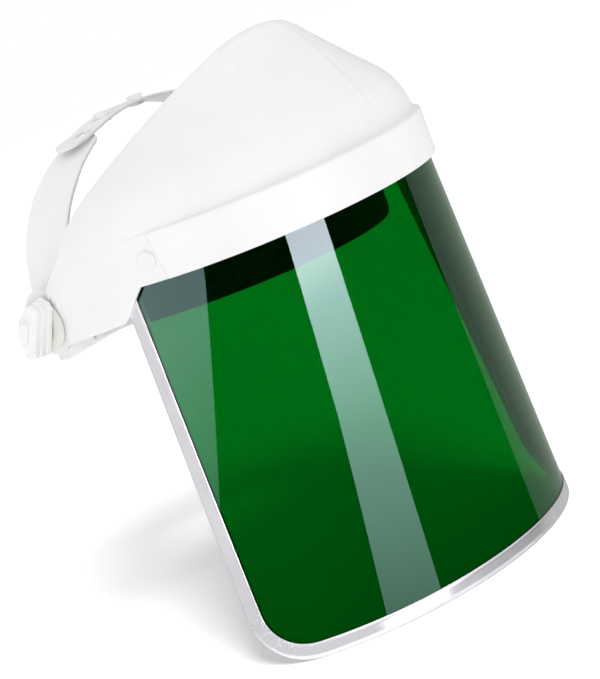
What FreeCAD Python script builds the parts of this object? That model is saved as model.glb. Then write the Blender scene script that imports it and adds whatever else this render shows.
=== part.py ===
# Face shield: a browguard with a green visor and a metal edge binding, tilting on a
# ratchet headgear. Millimetres. The wearer faces -Y, +Z is up and the wearer's right is
# -X. The origin is the middle of the tilt axis, on the symmetry plane.
import FreeCAD
import Part

import math
import os

import Sketcher

Vec = FreeCAD.Vector

doc = FreeCAD.newDocument("face_shield")

# ---------------------------------------------------------------- driving dimensions

DIMENSIONS = [
    ("shell_centre_y", -57.0),      # widest line of the browguard, ahead of the tilt axis
    ("panel_half_width", 98.8),
    ("panel_depth", 88.6),
    ("panel_rear_y", 44.0),
    ("panel_toe_in", 11.6),         # how far the side panels close in by panel_rear_y
    ("shell_wall", 2.2),
    ("rim_z", 8.0),
    ("band_top_z", 30.0),
    ("band_ledge", 2.4),
    ("band_half_width", 99.7),
    ("band_depth", 89.5),
    ("band_wall", 2.2),
    ("band_end_y", -93.0),
    ("dome_depth", 84.5),
    ("crest_half_width", 22.0),
    ("crest_step", 1.3),
    ("boss_radius", 15.5),
    ("boss_inner_x", 91.2),
    ("boss_outer_x", 95.2),
    ("visor_top_z", 22.0),
    ("visor_bottom_z", -178.0),
    ("visor_top_half_width", 94.9),
    ("visor_top_depth", 85.5),
    ("visor_top_centre_y", -57.5),
    ("visor_foot_half_width", 112.0),
    ("visor_foot_depth", 91.2),
    ("visor_foot_centre_y", -50.5),
    ("visor_thickness", 1.5),
    ("visor_corner_radius", 27.0),
    ("binding_face", 6.6),
    ("binding_wall", 0.8),
    ("binding_lip", 1.0),
    ("binding_top_z", 4.5),
    ("stud_y", -85.5),
    ("stud_z", 18.5),
    ("stud_head_radius", 4.2),
    ("stud_shank_radius", 2.3),
    ("stud_bore_radius", 2.4),
    ("stud_clip_radius", 5.5),
    ("stud_head_height", 1.0),
    ("stud_shank_length", 10.0),
    ("stud_clip_thickness", 1.2),
    ("stud_clip_depth", 6.9),
    ("ring_centre_y", -18.0),
    ("ring_half_width", 82.0),
    ("ring_half_length", 98.0),
    ("ring_wall", 2.0),
    ("pad_thickness", 5.5),
    ("cover_thickness", 1.2),
    ("crown_centre_z", 5.0),
    ("crown_half_width", 84.1),
    ("crown_rise", 73.0),
    ("crown_wall", 1.8),
    ("crown_gap", 0.3),
    ("pivot_radius", 3.0),
    ("pivot_bore_radius", 3.05),
    ("pivot_head_radius", 8.0),
    ("pivot_head_height", 2.4),
    ("pivot_head_x", 74.2),
    ("pivot_tip_x", 106.0),
    ("bush_radius", 8.5),
    ("bush_inner_x", 84.4),
    ("bush_outer_x", 90.9),
    ("washer_radius", 13.0),
    ("washer_inner_x", 95.4),
    ("washer_thickness", 1.5),
    ("knob_inner_x", 97.2),
    ("knob_half_length", 15.2),
    ("knob_front_edge", 6.2),
    ("knob_back_edge", 2.2),
    ("knob_hub_edge", 7.6),
    ("knob_layer", 3.6),
    ("knob_step", 0.9),
    ("knob_tab_height", 3.2),
    ("insert_radius", 4.3),
    ("insert_length", 9.0),
    ("nape_z", -15.5),
    ("strap_half_height", 9.0),
    ("strap_wall", 1.8),
    ("housing_half_width", 27.0),
    ("housing_half_height", 13.0),
    ("housing_rear", 4.5),
    ("housing_wall", 3.0),
    ("cover_wall", 1.8),
    ("nape_pad_thickness", 5.5),
    ("nape_pad_half_width", 32.0),
    ("nape_pad_half_height", 15.0),
    ("pinion_radius", 4.3),
    ("pinion_root_radius", 3.2),
    ("pinion_thickness", 1.9),
    ("rack_gap", 0.35),
    ("rack_half_length", 17.0),
    ("ratchet_shaft_length", 10.0),
    ("ratchet_shaft_radius", 3.5),
    ("ratchet_bore_radius", 3.55),
    ("ratchet_knob_radius", 15.0),
    ("ratchet_knob_inner_y", 85.0),
    ("ratchet_knob_depth", 9.0),
    ("ratchet_knob_bore", 3.0),
    ("grip_radius", 1.7),
    ("body_gap", 0.3),
    ("screw_offset_x", 20.0),
    ("screw_head_radius", 2.6),
    ("screw_radius", 1.4),
    ("screw_head_height", 1.4),
    ("screw_length", 9.0),
]

sheet = doc.addObject("Spreadsheet::Sheet", "Dimensions")
for row, (alias, value) in enumerate(DIMENSIONS, start=1):
    sheet.set("A%d" % row, alias)
    sheet.set("B%d" % row, str(value))
    sheet.setAlias("B%d" % row, alias)
doc.recompute()


def dim(alias):
    """Read one driving dimension from the sheet."""
    return float(sheet.get(alias))


SIDES = {"right": -1.0, "left": 1.0}

# Height, half width and depth of the dome, from the band's ledge up past its peak.
DOME_STATIONS = [
    (26.0, dim("panel_half_width"), dim("dome_depth")),
    (38.0, 98.2, 82.6),
    (48.0, 94.0, 79.6),
    (66.0, 75.0, 69.0),
    (84.0, 55.5, 57.0),
    (100.0, 42.0, 46.0),
]


# ---------------------------------------------------------------- shared shape helpers

def feature(label, shape):
    """Put a finished shape in the document as a named sub-part."""
    item = doc.addObject("Part::Feature", label)
    item.Label = label
    item.Shape = shape
    item.Placement = FreeCAD.Placement()
    return item


def ellipse(half_x, half_y, centre_y, z):
    """Full ellipse about (0, centre_y), and the parameter at its -X end."""
    centre = Vec(0, centre_y, z)
    if half_x >= half_y:
        return Part.Ellipse(Vec(half_x, centre_y, z), Vec(0, centre_y + half_y, z), centre), math.pi
    return Part.Ellipse(Vec(0, centre_y + half_y, z), Vec(-half_x, centre_y, z), centre), math.pi / 2


def ellipse_prism(half_x, half_y, centre_y, low_z, high_z):
    """Upright solid with an elliptical plan."""
    curve, _ = ellipse(half_x, half_y, centre_y, low_z)
    face = Part.Face(Part.Wire([curve.toShape()]))
    return face.extrude(Vec(0, 0, high_z - low_z))


def hood_wire(half_x, depth, centre_y, z, rear_y, toe_in):
    """Plan of a hood: half an ellipse in front and gently closing sides behind it."""
    curve, start = ellipse(half_x, depth, centre_y, z)
    front = curve.toShape(start, start + math.pi)
    edges = [front]
    for side in (1, -1):
        head = Vec(side * half_x, centre_y, z)
        middle = Vec(side * (half_x - toe_in / 4), (centre_y + rear_y) / 2, z)
        tail = Vec(side * (half_x - toe_in), rear_y, z)
        if toe_in:
            edges.append(Part.Arc(head, middle, tail).toShape())
        else:
            edges.append(Part.makeLine(head, tail))
    tails = [Vec(side * (half_x - toe_in), rear_y, z) for side in (1, -1)]
    edges.append(Part.makeLine(tails[0], tails[1]))
    return Part.Wire(Part.__sortEdges__(edges))


def hood(stations, inset=0.0, ruled=False, centres=None, rear_y=None, toe_in=None):
    """Solid lofted through plans given as (z, half width, depth)."""
    rear = dim("panel_rear_y") if rear_y is None else rear_y
    toe = dim("panel_toe_in") if toe_in is None else toe_in
    wires = []
    for index, (z, half_x, depth) in enumerate(stations):
        centre_y = dim("shell_centre_y") if centres is None else centres[index]
        wires.append(hood_wire(half_x - inset, depth - inset, centre_y, z, rear, toe))
    return Part.makeLoft(wires, True, ruled)


def side_prism(edges, half_x=160.0):
    """Solid that runs right across the object from a closed outline in the YZ plane."""
    face = Part.Face(Part.Wire(Part.__sortEdges__(edges)))
    face.translate(Vec(-half_x, 0, 0))
    return face.extrude(Vec(2 * half_x, 0, 0))


def path_edges(points):
    """Straight edges through (y, z) points, closed back to the first."""
    corners = [Vec(0, y, z) for y, z in points]
    return [Part.makeLine(a, b) for a, b in zip(corners, corners[1:] + corners[:1])]


def box(low, high):
    """Axis-aligned box between two corners."""
    low, high = Vec(*low), Vec(*high)
    size = high - low
    return Part.makeBox(size.x, size.y, size.z, low)


def rod(radius, start_x, end_x, y=0.0, z=0.0):
    """Cylinder along X."""
    length = abs(end_x - start_x)
    direction = Vec(math.copysign(1, end_x - start_x), 0, 0)
    return Part.makeCylinder(radius, length, Vec(start_x, y, z), direction)


# ---------------------------------------------------------------- browguard

def stud_frame(side):
    """Point on the side panel's outer face at a visor stud, and the outward normal."""
    half_x, depth = dim("panel_half_width"), dim("panel_depth")
    ahead = dim("stud_y") - dim("shell_centre_y")
    x = half_x * math.sqrt(1 - (ahead / depth) ** 2)
    normal = Vec(side * x / half_x ** 2, ahead / depth ** 2, 0).normalize()
    return Vec(side * x, dim("stud_y"), dim("stud_z")), normal


def stud_bore(side):
    """Hole for a visor stud, through the panel, the band and the visor."""
    point, normal = stud_frame(side)
    return Part.makeCylinder(dim("stud_bore_radius"), 24, point - normal * 12, normal)


def panel_outline():
    """Side view of both side panels: rim, cut corner, lower edge and round pivot end."""
    radius = dim("boss_radius") + 0.6
    rim, top = dim("rim_z"), dim("band_top_z")
    lower = -12.0
    corner = Vec(0, -math.sqrt(radius ** 2 - lower ** 2), lower)
    crown = Vec(0, -0.5 * radius, radius * math.sqrt(0.75))
    points = [crown, Vec(0, -31, top), Vec(0, dim("band_end_y"), top)]
    points += [Vec(0, dim("band_end_y"), rim), Vec(0, -77, rim), Vec(0, -65, -3.5),
               Vec(0, -60.5, -6.5), corner]
    edges = [Part.makeLine(a, b) for a, b in zip(points, points[1:])]
    edges.append(Part.Arc(corner, Vec(0, radius, 0), crown).toShape())
    return edges


def dome_outline():
    """Side view of the dome: ledge in front and the rear edge that climbs to the peak."""
    ledge = dim("band_top_z") - dim("band_ledge")
    return path_edges([(-170, ledge), (-29, ledge), (-31, 31), (-114, 102), (-170, 102)])


def make_browguard():
    wall = dim("shell_wall")
    rim, top = dim("rim_z"), dim("band_top_z")
    upright = [(-20.0, dim("panel_half_width"), dim("panel_depth")),
               (top, dim("panel_half_width"), dim("panel_depth"))]
    panels = hood(upright, ruled=True).cut(hood(upright, inset=wall, ruled=True, rear_y=60))
    panels = panels.common(side_prism(panel_outline()))

    dome_core = hood(DOME_STATIONS, inset=wall, rear_y=60)
    dome = hood(DOME_STATIONS).cut(dome_core).common(side_prism(dome_outline()))

    low_z, high_z = 42.0, DOME_STATIONS[-1][0]
    crest_stations = []
    for z, half_x, depth in DOME_STATIONS:
        rise = dim("crest_step") * (z - low_z) / (high_z - low_z)
        crest_stations.append((z, half_x, depth + rise))
    crest = hood(crest_stations).cut(dome_core)
    half = dim("crest_half_width")
    crest = crest.common(box((-half, -170, low_z + 8), (half, -60, 110)))
    crest = crest.common(side_prism(dome_outline()))

    ledge_z = top - dim("band_ledge")
    centre = dim("shell_centre_y")
    outer = ellipse_prism(dim("band_half_width"), dim("band_depth"), centre, rim, top)
    band_wall = dim("band_wall")
    inner = ellipse_prism(dim("band_half_width") - band_wall, dim("band_depth") - band_wall,
                          centre, rim, ledge_z)
    dome_plan = ellipse_prism(dim("panel_half_width") - wall, dim("dome_depth") - wall - 0.4,
                              centre, rim, top)
    band = outer.cut(inner).cut(dome_plan)
    # The band ends in a slanted bevel just ahead of each stud.
    band = band.common(side_prism(path_edges([(-170, rim), (-91.5, rim), (-89, top), (-170, top)])))

    shape = panels.fuse([dome, crest, band])
    for side in SIDES.values():
        inner_x, outer_x = side * dim("boss_inner_x"), side * dim("boss_outer_x")
        shape = shape.fuse(rod(dim("boss_radius"), inner_x, outer_x))
    # A shallow pocket inside each panel's front corner takes the top of the edge binding.
    pocket_grow = dim("binding_wall") + dim("body_gap")
    shape = shape.cut(visor_hood(-pocket_grow).common(box((-120, -90, -20), (120, -55, rim - 1))))
    for side in SIDES.values():
        shape = shape.cut(rod(dim("boss_radius") + 9, side * dim("boss_outer_x"), side * 110))
        shape = shape.cut(rod(dim("pivot_bore_radius"), side * 80, side * 110))
        shape = shape.cut(stud_bore(side))
    return feature("browguard", shape.removeSplitter())


# ---------------------------------------------------------------- visor and binding

def visor_stations():
    return [(dim("visor_bottom_z"), dim("visor_foot_half_width"), dim("visor_foot_depth")),
            (dim("visor_top_z"), dim("visor_top_half_width"), dim("visor_top_depth"))]


def visor_hood(inset):
    """Solid inside the visor's outer face, moved in by inset."""
    centres = [dim("visor_foot_centre_y"), dim("visor_top_centre_y")]
    return hood(visor_stations(), inset=inset, ruled=True, centres=centres,
                rear_y=10 + inset, toe_in=0.0)


def visor_face(grow):
    """Side view of the visor, grown outward by grow: cut top corner, round foot corner."""
    foot, radius = dim("visor_bottom_z"), dim("visor_corner_radius")
    top_rear, cut_end = Vec(0, -76, dim("visor_top_z")), Vec(0, -64, 6)
    rear_foot = Vec(0, -75, foot)
    along = (rear_foot - cut_end).normalize()
    forward = Vec(0, -1, 0)
    # Tangent length of a round corner between the rear edge and the foot.
    half_turn = along.getAngle(forward) / 2
    reach = radius * math.tan(half_turn)
    start, end = rear_foot - along * reach, rear_foot + forward * reach
    bisector = (forward - along).normalize()
    centre = rear_foot + bisector * (radius / math.cos(half_turn))
    middle = centre - bisector * radius
    front_foot, front_top = Vec(0, -200, foot), Vec(0, -200, dim("visor_top_z"))
    edges = [Part.makeLine(top_rear, cut_end), Part.makeLine(cut_end, start),
             Part.Arc(start, middle, end).toShape(), Part.makeLine(end, front_foot),
             Part.makeLine(front_foot, front_top), Part.makeLine(front_top, top_rear)]
    face = Part.Face(Part.Wire(Part.__sortEdges__(edges)))
    return face.makeOffset2D(grow) if grow else face


def across(face, half_x=160.0):
    """Extrude a side-view face right across the object."""
    copy = face.copy()
    copy.translate(Vec(-half_x, 0, 0))
    return copy.extrude(Vec(2 * half_x, 0, 0))


def make_visor():
    sheet_solid = visor_hood(0.0).cut(visor_hood(dim("visor_thickness")))
    shape = sheet_solid.common(across(visor_face(0.0)))
    for side in SIDES.values():
        shape = shape.cut(stud_bore(side))
    return feature("visor", shape)


def make_binding(visor):
    wall = dim("binding_wall")
    outer = visor_stations()
    outer[0] = (outer[0][0] - 3, outer[0][1] + 0.25, outer[0][2] + 0.08)
    centres = [dim("visor_foot_centre_y"), dim("visor_top_centre_y")]
    skin = hood(outer, inset=-wall, ruled=True, centres=centres, rear_y=10, toe_in=0.0)
    inset = dim("visor_thickness") + wall
    skin = skin.cut(hood(outer, inset=inset, ruled=True, centres=centres, rear_y=14, toe_in=0.0))
    channel = across(visor_face(dim("binding_lip"))).cut(across(visor_face(-dim("binding_face"))))
    shape = skin.common(channel)
    shape = shape.common(box((-150, -170, -190), (150, 0, dim("binding_top_z"))))
    return feature("edge_binding", shape.cut(visor.Shape))


# ---------------------------------------------------------------- headgear

def ring_solid(outer_inset, inner_inset, low_z=-60.0, high_z=60.0):
    """Upright ring between two insets from the headband's outer face."""
    half_x, half_y = dim("ring_half_width"), dim("ring_half_length")
    centre = dim("ring_centre_y")
    outer = ellipse_prism(half_x - outer_inset, half_y - outer_inset, centre, low_z, high_z)
    return outer.cut(ellipse_prism(half_x - inner_inset, half_y - inner_inset, centre,
                                   low_z - 1, high_z + 1))


def make_headband():
    outline = path_edges([(-125, 28), (-70, 26), (-34, 17), (14, 15), (27, 4), (50, -5),
                          (50, -27), (19, -24), (-33, -13), (-60, -11), (-125, -10)])
    shape = ring_solid(0.0, dim("ring_wall")).common(side_prism(outline))
    for side in SIDES.values():
        shape = shape.cut(rod(dim("pivot_bore_radius"), side * 60, side * 95))
    return feature("headband", shape)


def make_sweatband(headband):
    """Padded sleeve round the forehead part of the headband."""
    inner = dim("ring_wall") + dim("pad_thickness")
    end_y = -51.0
    outline = path_edges([(-125, -13), (end_y, -14), (end_y, 24.5), (-70, 29), (-125, 31)])
    shape = ring_solid(-dim("cover_thickness"), inner).common(side_prism(outline))
    return feature("sweatband", shape.cut(headband.Shape))


def crown_arch(outset):
    """Arch over the head in the XZ plane, with straight legs, as a wide solid along Y."""
    half_x = dim("crown_half_width") + min(outset, 0.0)
    rise = dim("crown_rise") + outset
    centre_z, foot_z, reach_y = dim("crown_centre_z"), -15.0, 40.0
    centre = Vec(0, -reach_y, centre_z)
    curve = Part.Ellipse(centre + Vec(half_x, 0, 0), centre + Vec(0, 0, rise), centre)
    right, left = centre - Vec(half_x, 0, 0), centre + Vec(half_x, 0, 0)
    drop = Vec(0, 0, foot_z - centre_z)
    edges = [curve.toShape(0, math.pi), Part.makeLine(right, right + drop),
             Part.makeLine(right + drop, left + drop), Part.makeLine(left + drop, left)]
    face = Part.Face(Part.Wire(Part.__sortEdges__(edges)))
    return face.extrude(Vec(0, 2 * reach_y, 0))


def crown_plan(side, end_x):
    """Plan of one strap half: wide at its ear, tapering to a free end past the middle."""
    ear_front, ear_rear, end_front, end_rear = -15.0, 17.0, -9.0, 11.0
    points = [(side * 95, ear_front), (side * 60, ear_front), (side * 10, end_front),
              (end_x, end_front), (end_x, end_rear), (side * 10, end_rear),
              (side * 60, ear_rear), (side * 95, ear_rear)]
    corners = [Vec(x, y, -30) for x, y in points]
    face = Part.Face(Part.makePolygon(corners + corners[:1]))
    return face.extrude(Vec(0, 0, 130))


CROWN_PEGS = (-16.0, 8.0)
CROWN_SLOTS = (-32.0, -16.0, -4.0, 8.0)


def make_crown_straps():
    wall, gap = dim("crown_wall"), dim("crown_gap")
    lower = crown_arch(0.0).cut(crown_arch(-wall)).common(crown_plan(-1, 30.0))
    upper = crown_arch(wall + gap).cut(crown_arch(gap)).common(crown_plan(1, -44.0))
    # The upper half's leg runs in the same plane as the lower half's.
    leg = crown_arch(0.0).cut(crown_arch(-wall)).common(crown_plan(1, 60.0))
    leg = leg.common(box((60, -30, -20), (95, 30, 46)))
    bridge = crown_arch(wall + gap).cut(crown_arch(-wall)).common(crown_plan(1, 60.0))
    bridge = bridge.common(box((60, -30, 40), (95, 30, 46)))
    upper = upper.common(box((-60, -30, 40), (95, 30, 100))).fuse([leg, bridge])
    for x in CROWN_SLOTS:
        upper = upper.cut(box((x - 3.3, -3.5, 60), (x + 3.3, 5.5, 100)))
    for x in CROWN_PEGS:
        peg = box((x - 3, -3.2, 68), (x + 3, 5.2, 83.5)).cut(crown_arch(-wall / 2))
        lower = lower.fuse(peg)
    for side in SIDES.values():
        bore = rod(dim("pivot_bore_radius"), side * 60, side * 95)
        lower, upper = lower.cut(bore), upper.cut(bore)
    return feature("crown_strap_right", lower), feature("crown_strap_left", upper)


def make_nape_strap(name, side):
    """Rear strap half: lapped inside the headband's end, a plain rack in the housing."""
    z, half = dim("nape_z"), dim("strap_half_height")
    outer_face = dim("ring_wall") + dim("body_gap")
    ring = ring_solid(outer_face, outer_face + dim("strap_wall"))
    front_y, rack_root_x = 24.0, 23.5
    wide = box((rack_root_x, front_y, z - half), (95, 95, z + half))
    gap = dim("pinion_radius") + dim("rack_gap")
    rack_z = (z - half, z - gap) if side < 0 else (z + gap, z + half)
    rack = box((-dim("rack_half_length"), 40, rack_z[0]), (rack_root_x + 1, 95, rack_z[1]))
    shape = ring.common(wide.fuse(rack))
    if side < 0:
        shape = shape.mirror(Vec(0, 0, 0), Vec(1, 0, 0))
    return feature(name, shape)


def nape_inner_face():
    """Inset of the housing's open side from the headband's outer face."""
    return dim("ring_wall") + dim("strap_wall") + 0.7


def make_nape_unit():
    """Housing outside the straps, cover inside them and the pad in front of the cover."""
    z, half_z, half_x = dim("nape_z"), dim("housing_half_height"), dim("housing_half_width")
    block = box((-half_x, 40, z - half_z), (half_x, 120, z + half_z))
    wall = dim("housing_wall")
    slot = box((-60, 40, z - half_z + wall), (60, 120, z + half_z - wall))
    inner_face = nape_inner_face()
    outer_face = dim("ring_wall") - 0.1
    housing = ring_solid(-dim("housing_rear"), inner_face).common(block)
    housing = housing.cut(ring_solid(outer_face, inner_face).common(slot))
    shaft_bore = Part.makeCylinder(dim("ratchet_bore_radius"), 40, Vec(0, 60, z), Vec(0, 1, 0))
    housing = housing.cut(shaft_bore)
    cover_face = inner_face + 0.1 + dim("cover_wall")
    cover = ring_solid(inner_face + 0.1, cover_face).common(block)
    pad_x, pad_z = dim("nape_pad_half_width"), dim("nape_pad_half_height")
    pad_block = box((-pad_x, 40, z - pad_z), (pad_x, 120, z + pad_z))
    pad = ring_solid(cover_face + 0.1, cover_face + dim("nape_pad_thickness")).common(pad_block)
    for sign in (1, -1):
        x = sign * dim("screw_offset_x")
        along_y = Vec(0, 1, 0)
        screw_bore = Part.makeCylinder(dim("screw_radius"), 40, Vec(x, 50, z), along_y)
        head_bore = Part.makeCylinder(dim("screw_head_radius") + dim("body_gap"), 30,
                                      Vec(x, 42, z), along_y)
        cover, housing, pad = cover.cut(screw_bore), housing.cut(screw_bore), pad.cut(head_bore)
    return [feature("ratchet_housing", housing), feature("ratchet_cover", cover),
            feature("nape_pad", pad)]


# ---------------------------------------------------------------- turned and padded parts

def new_body(label):
    body = doc.addObject("PartDesign::Body", label)
    body.Label = label
    return body


def origin_plane(body, role):
    for item in body.Origin.OriginFeatures:
        if item.Role == role:
            return item
    raise ValueError(role)


def new_sketch(body, name, lift=None):
    """Sketch on the body's own XY plane, raised by an expression."""
    sketch = body.newObject("Sketcher::SketchObject", name)
    sketch.AttachmentSupport = [(origin_plane(body, "XY_Plane"), "")]
    sketch.MapMode = "FlatFace"
    if lift:
        sketch.setExpression("AttachmentOffset.Base.z", lift)
    return sketch


def add_circle(sketch, radius):
    """Circle on the sketch origin whose radius follows an expression."""
    index = sketch.addGeometry(Part.Circle(Vec(0, 0, 0), Vec(0, 0, 1), 1.0), False)
    sketch.addConstraint(Sketcher.Constraint("Coincident", index, 3, -1, 1))
    place = sketch.addConstraint(Sketcher.Constraint("Radius", index, 1.0 + index))
    sketch.setExpression("Constraints[%d]" % place, radius)


def add_outline(sketch, points):
    """Closed outline whose corners follow pairs of expressions in x and y."""
    start = [(10.0 * math.cos(2 * math.pi * i / len(points)),
              10.0 * math.sin(2 * math.pi * i / len(points))) for i in range(len(points))]
    first = sketch.GeometryCount
    for i, (x, y) in enumerate(start):
        nx, ny = start[(i + 1) % len(start)]
        sketch.addGeometry(Part.LineSegment(Vec(x, y, 0), Vec(nx, ny, 0)), False)
    for i in range(len(points)):
        following = first + (i + 1) % len(points)
        sketch.addConstraint(Sketcher.Constraint("Coincident", first + i, 2, following, 1))
    for i, (across_x, across_y) in enumerate(points):
        for kind, value, coordinate in (("DistanceX", across_x, 0), ("DistanceY", across_y, 1)):
            place = sketch.addConstraint(
                Sketcher.Constraint(kind, -1, 1, first + i, 1, start[i][coordinate]))
            sketch.setExpression("Constraints[%d]" % place, value)


def pad(body, sketch, name, length):
    item = body.newObject("PartDesign::Pad", name)
    item.Profile = sketch
    item.setExpression("Length", length)
    sketch.Visibility = False
    return item


def pocket(body, sketch, name, length):
    item = body.newObject("PartDesign::Pocket", name)
    item.Profile = sketch
    item.Reversed = True
    item.setExpression("Length", length)
    sketch.Visibility = False
    return item


def disc(body, name, radius, length, lift=None, bore=None):
    """Pad of a circle, with an optional round hole."""
    sketch = new_sketch(body, name + "_sketch", lift)
    add_circle(sketch, radius)
    if bore:
        add_circle(sketch, bore)
    return pad(body, sketch, name, length)


def place(body, origin, x_axis, y_axis):
    """Put a body at origin with its own X and Y along the given directions."""
    z_axis = x_axis.cross(y_axis)
    matrix = FreeCAD.Matrix(x_axis.x, y_axis.x, z_axis.x, origin.x,
                            x_axis.y, y_axis.y, z_axis.y, origin.y,
                            x_axis.z, y_axis.z, z_axis.z, origin.z, 0, 0, 0, 1)
    body.Placement = FreeCAD.Placement(matrix)


KNOB_LEAN = math.radians(34.0)


def side_axes(side):
    """Axes for a pivot part: its own Z points outward along X, its own X leans forward."""
    lean = Vec(0, -math.sin(KNOB_LEAN), math.cos(KNOB_LEAN))
    across_axis = Vec(0, math.cos(KNOB_LEAN), math.sin(KNOB_LEAN))
    return (lean if side < 0 else lean * -1), across_axis


def make_pivot_parts(name, side):
    x_axis, y_axis = side_axes(side)
    items = {}

    bolt = new_body("pivot_bolt_" + name)
    disc(bolt, "head", "Dimensions.pivot_head_radius", "Dimensions.pivot_head_height")
    disc(bolt, "shank", "Dimensions.pivot_radius",
         "Dimensions.pivot_tip_x - Dimensions.pivot_head_x", "0")
    place(bolt, Vec(side * dim("pivot_head_x"), 0, 0), x_axis, y_axis)
    items["pivot_bolt_" + name] = bolt

    bush = new_body("spacer_bush_" + name)
    disc(bush, "tube", "Dimensions.bush_radius",
         "Dimensions.bush_outer_x - Dimensions.bush_inner_x", None, "Dimensions.pivot_bore_radius")
    place(bush, Vec(side * dim("bush_inner_x"), 0, 0), x_axis, y_axis)
    items["spacer_bush_" + name] = bush

    washer = new_body("friction_washer_" + name)
    disc(washer, "plate", "Dimensions.washer_radius", "Dimensions.washer_thickness", None,
         "Dimensions.pivot_bore_radius")
    place(washer, Vec(side * dim("washer_inner_x"), 0, 0), x_axis, y_axis)
    items["friction_washer_" + name] = washer

    items["tension_knob_" + name] = make_tension_knob(name, side)

    insert = new_body("knob_insert_" + name)
    disc(insert, "tube", "Dimensions.insert_radius - 0.05", "Dimensions.insert_length", None,
         "Dimensions.pivot_bore_radius")
    place(insert, Vec(side * dim("knob_inner_x"), 0, 0), x_axis, y_axis)
    items["knob_insert_" + name] = insert
    return items


def knob_outline(sketch, trim):
    """Straight front edge and a hub that swells at the back, trimmed in by a length."""
    half = "(Dimensions.knob_half_length - %s)" % trim
    front = "(Dimensions.knob_front_edge - %s)" % trim
    back = "(Dimensions.knob_back_edge - %s)" % trim
    hub = "(Dimensions.knob_hub_edge - %s)" % trim
    cut = "2.5"
    add_outline(sketch, [("%s - %s" % (half, cut), "-%s" % front),
                         (half, "%s - %s" % (cut, front)),
                         (half, back),
                         ("4.6", hub),
                         ("-4.6", hub),
                         ("-%s" % half, back),
                         ("-%s" % half, "%s - %s" % (cut, front)),
                         ("%s - %s" % (cut, half), "-%s" % front)])


def make_tension_knob(name, side):
    """Thumb knob in three stepped layers with a raised tab and a blind bore."""
    knob = new_body("tension_knob_" + name)
    layer = "Dimensions.knob_layer"
    step = "Dimensions.knob_step"
    for index in range(3):
        flange = new_sketch(knob, "flange_sketch_%d" % index, "%d * %s" % (index, layer))
        knob_outline(flange, "%g * %s" % (0.5 * index, step))
        pad(knob, flange, "flange_%d" % index, "%s - 0.8" % layer)
        if index < 2:
            groove = new_sketch(knob, "groove_sketch_%d" % index,
                                "%d * %s - 0.9" % (index + 1, layer))
            knob_outline(groove, "%g * %s" % (1.2 + 0.5 * index, step))
            pad(knob, groove, "groove_%d" % index, "1")
    tab = new_sketch(knob, "tab_sketch", "3 * %s - 1" % layer)
    add_outline(tab, [("5.6", "-1.9"), ("5.6", "1.4"), ("2.1", "3.9"),
                      ("-2.1", "3.9"), ("-5.6", "1.4"), ("-5.6", "-1.9")])
    pad(knob, tab, "tab", "Dimensions.knob_tab_height")
    bore = new_sketch(knob, "bore_sketch")
    add_circle(bore, "Dimensions.insert_radius")
    pocket(knob, bore, "bore", "Dimensions.insert_length + 0.3")
    x_axis, y_axis = side_axes(side)
    place(knob, Vec(side * dim("knob_inner_x"), 0, 0), x_axis, y_axis)
    return knob


def make_stud_parts(name, side):
    """Visor stud from outside and the push-on clip that holds it inside the visor."""
    point, normal = stud_frame(side)
    upright = Vec(0, 0, 1)
    stud = new_body("visor_stud_" + name)
    disc(stud, "head", "Dimensions.stud_head_radius", "Dimensions.stud_head_height")
    disc(stud, "shank", "Dimensions.stud_shank_radius", "Dimensions.stud_shank_length",
         "Dimensions.stud_head_height - Dimensions.stud_shank_length")
    place(stud, point + normal * 0.1, upright, normal.cross(upright))
    clip = new_body("stud_clip_" + name)
    disc(clip, "plate", "Dimensions.stud_clip_radius", "Dimensions.stud_clip_thickness", None,
         "Dimensions.stud_bore_radius")
    place(clip, point - normal * dim("stud_clip_depth"), upright, normal.cross(upright))
    return {"visor_stud_" + name: stud, "stud_clip_" + name: clip}


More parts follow.
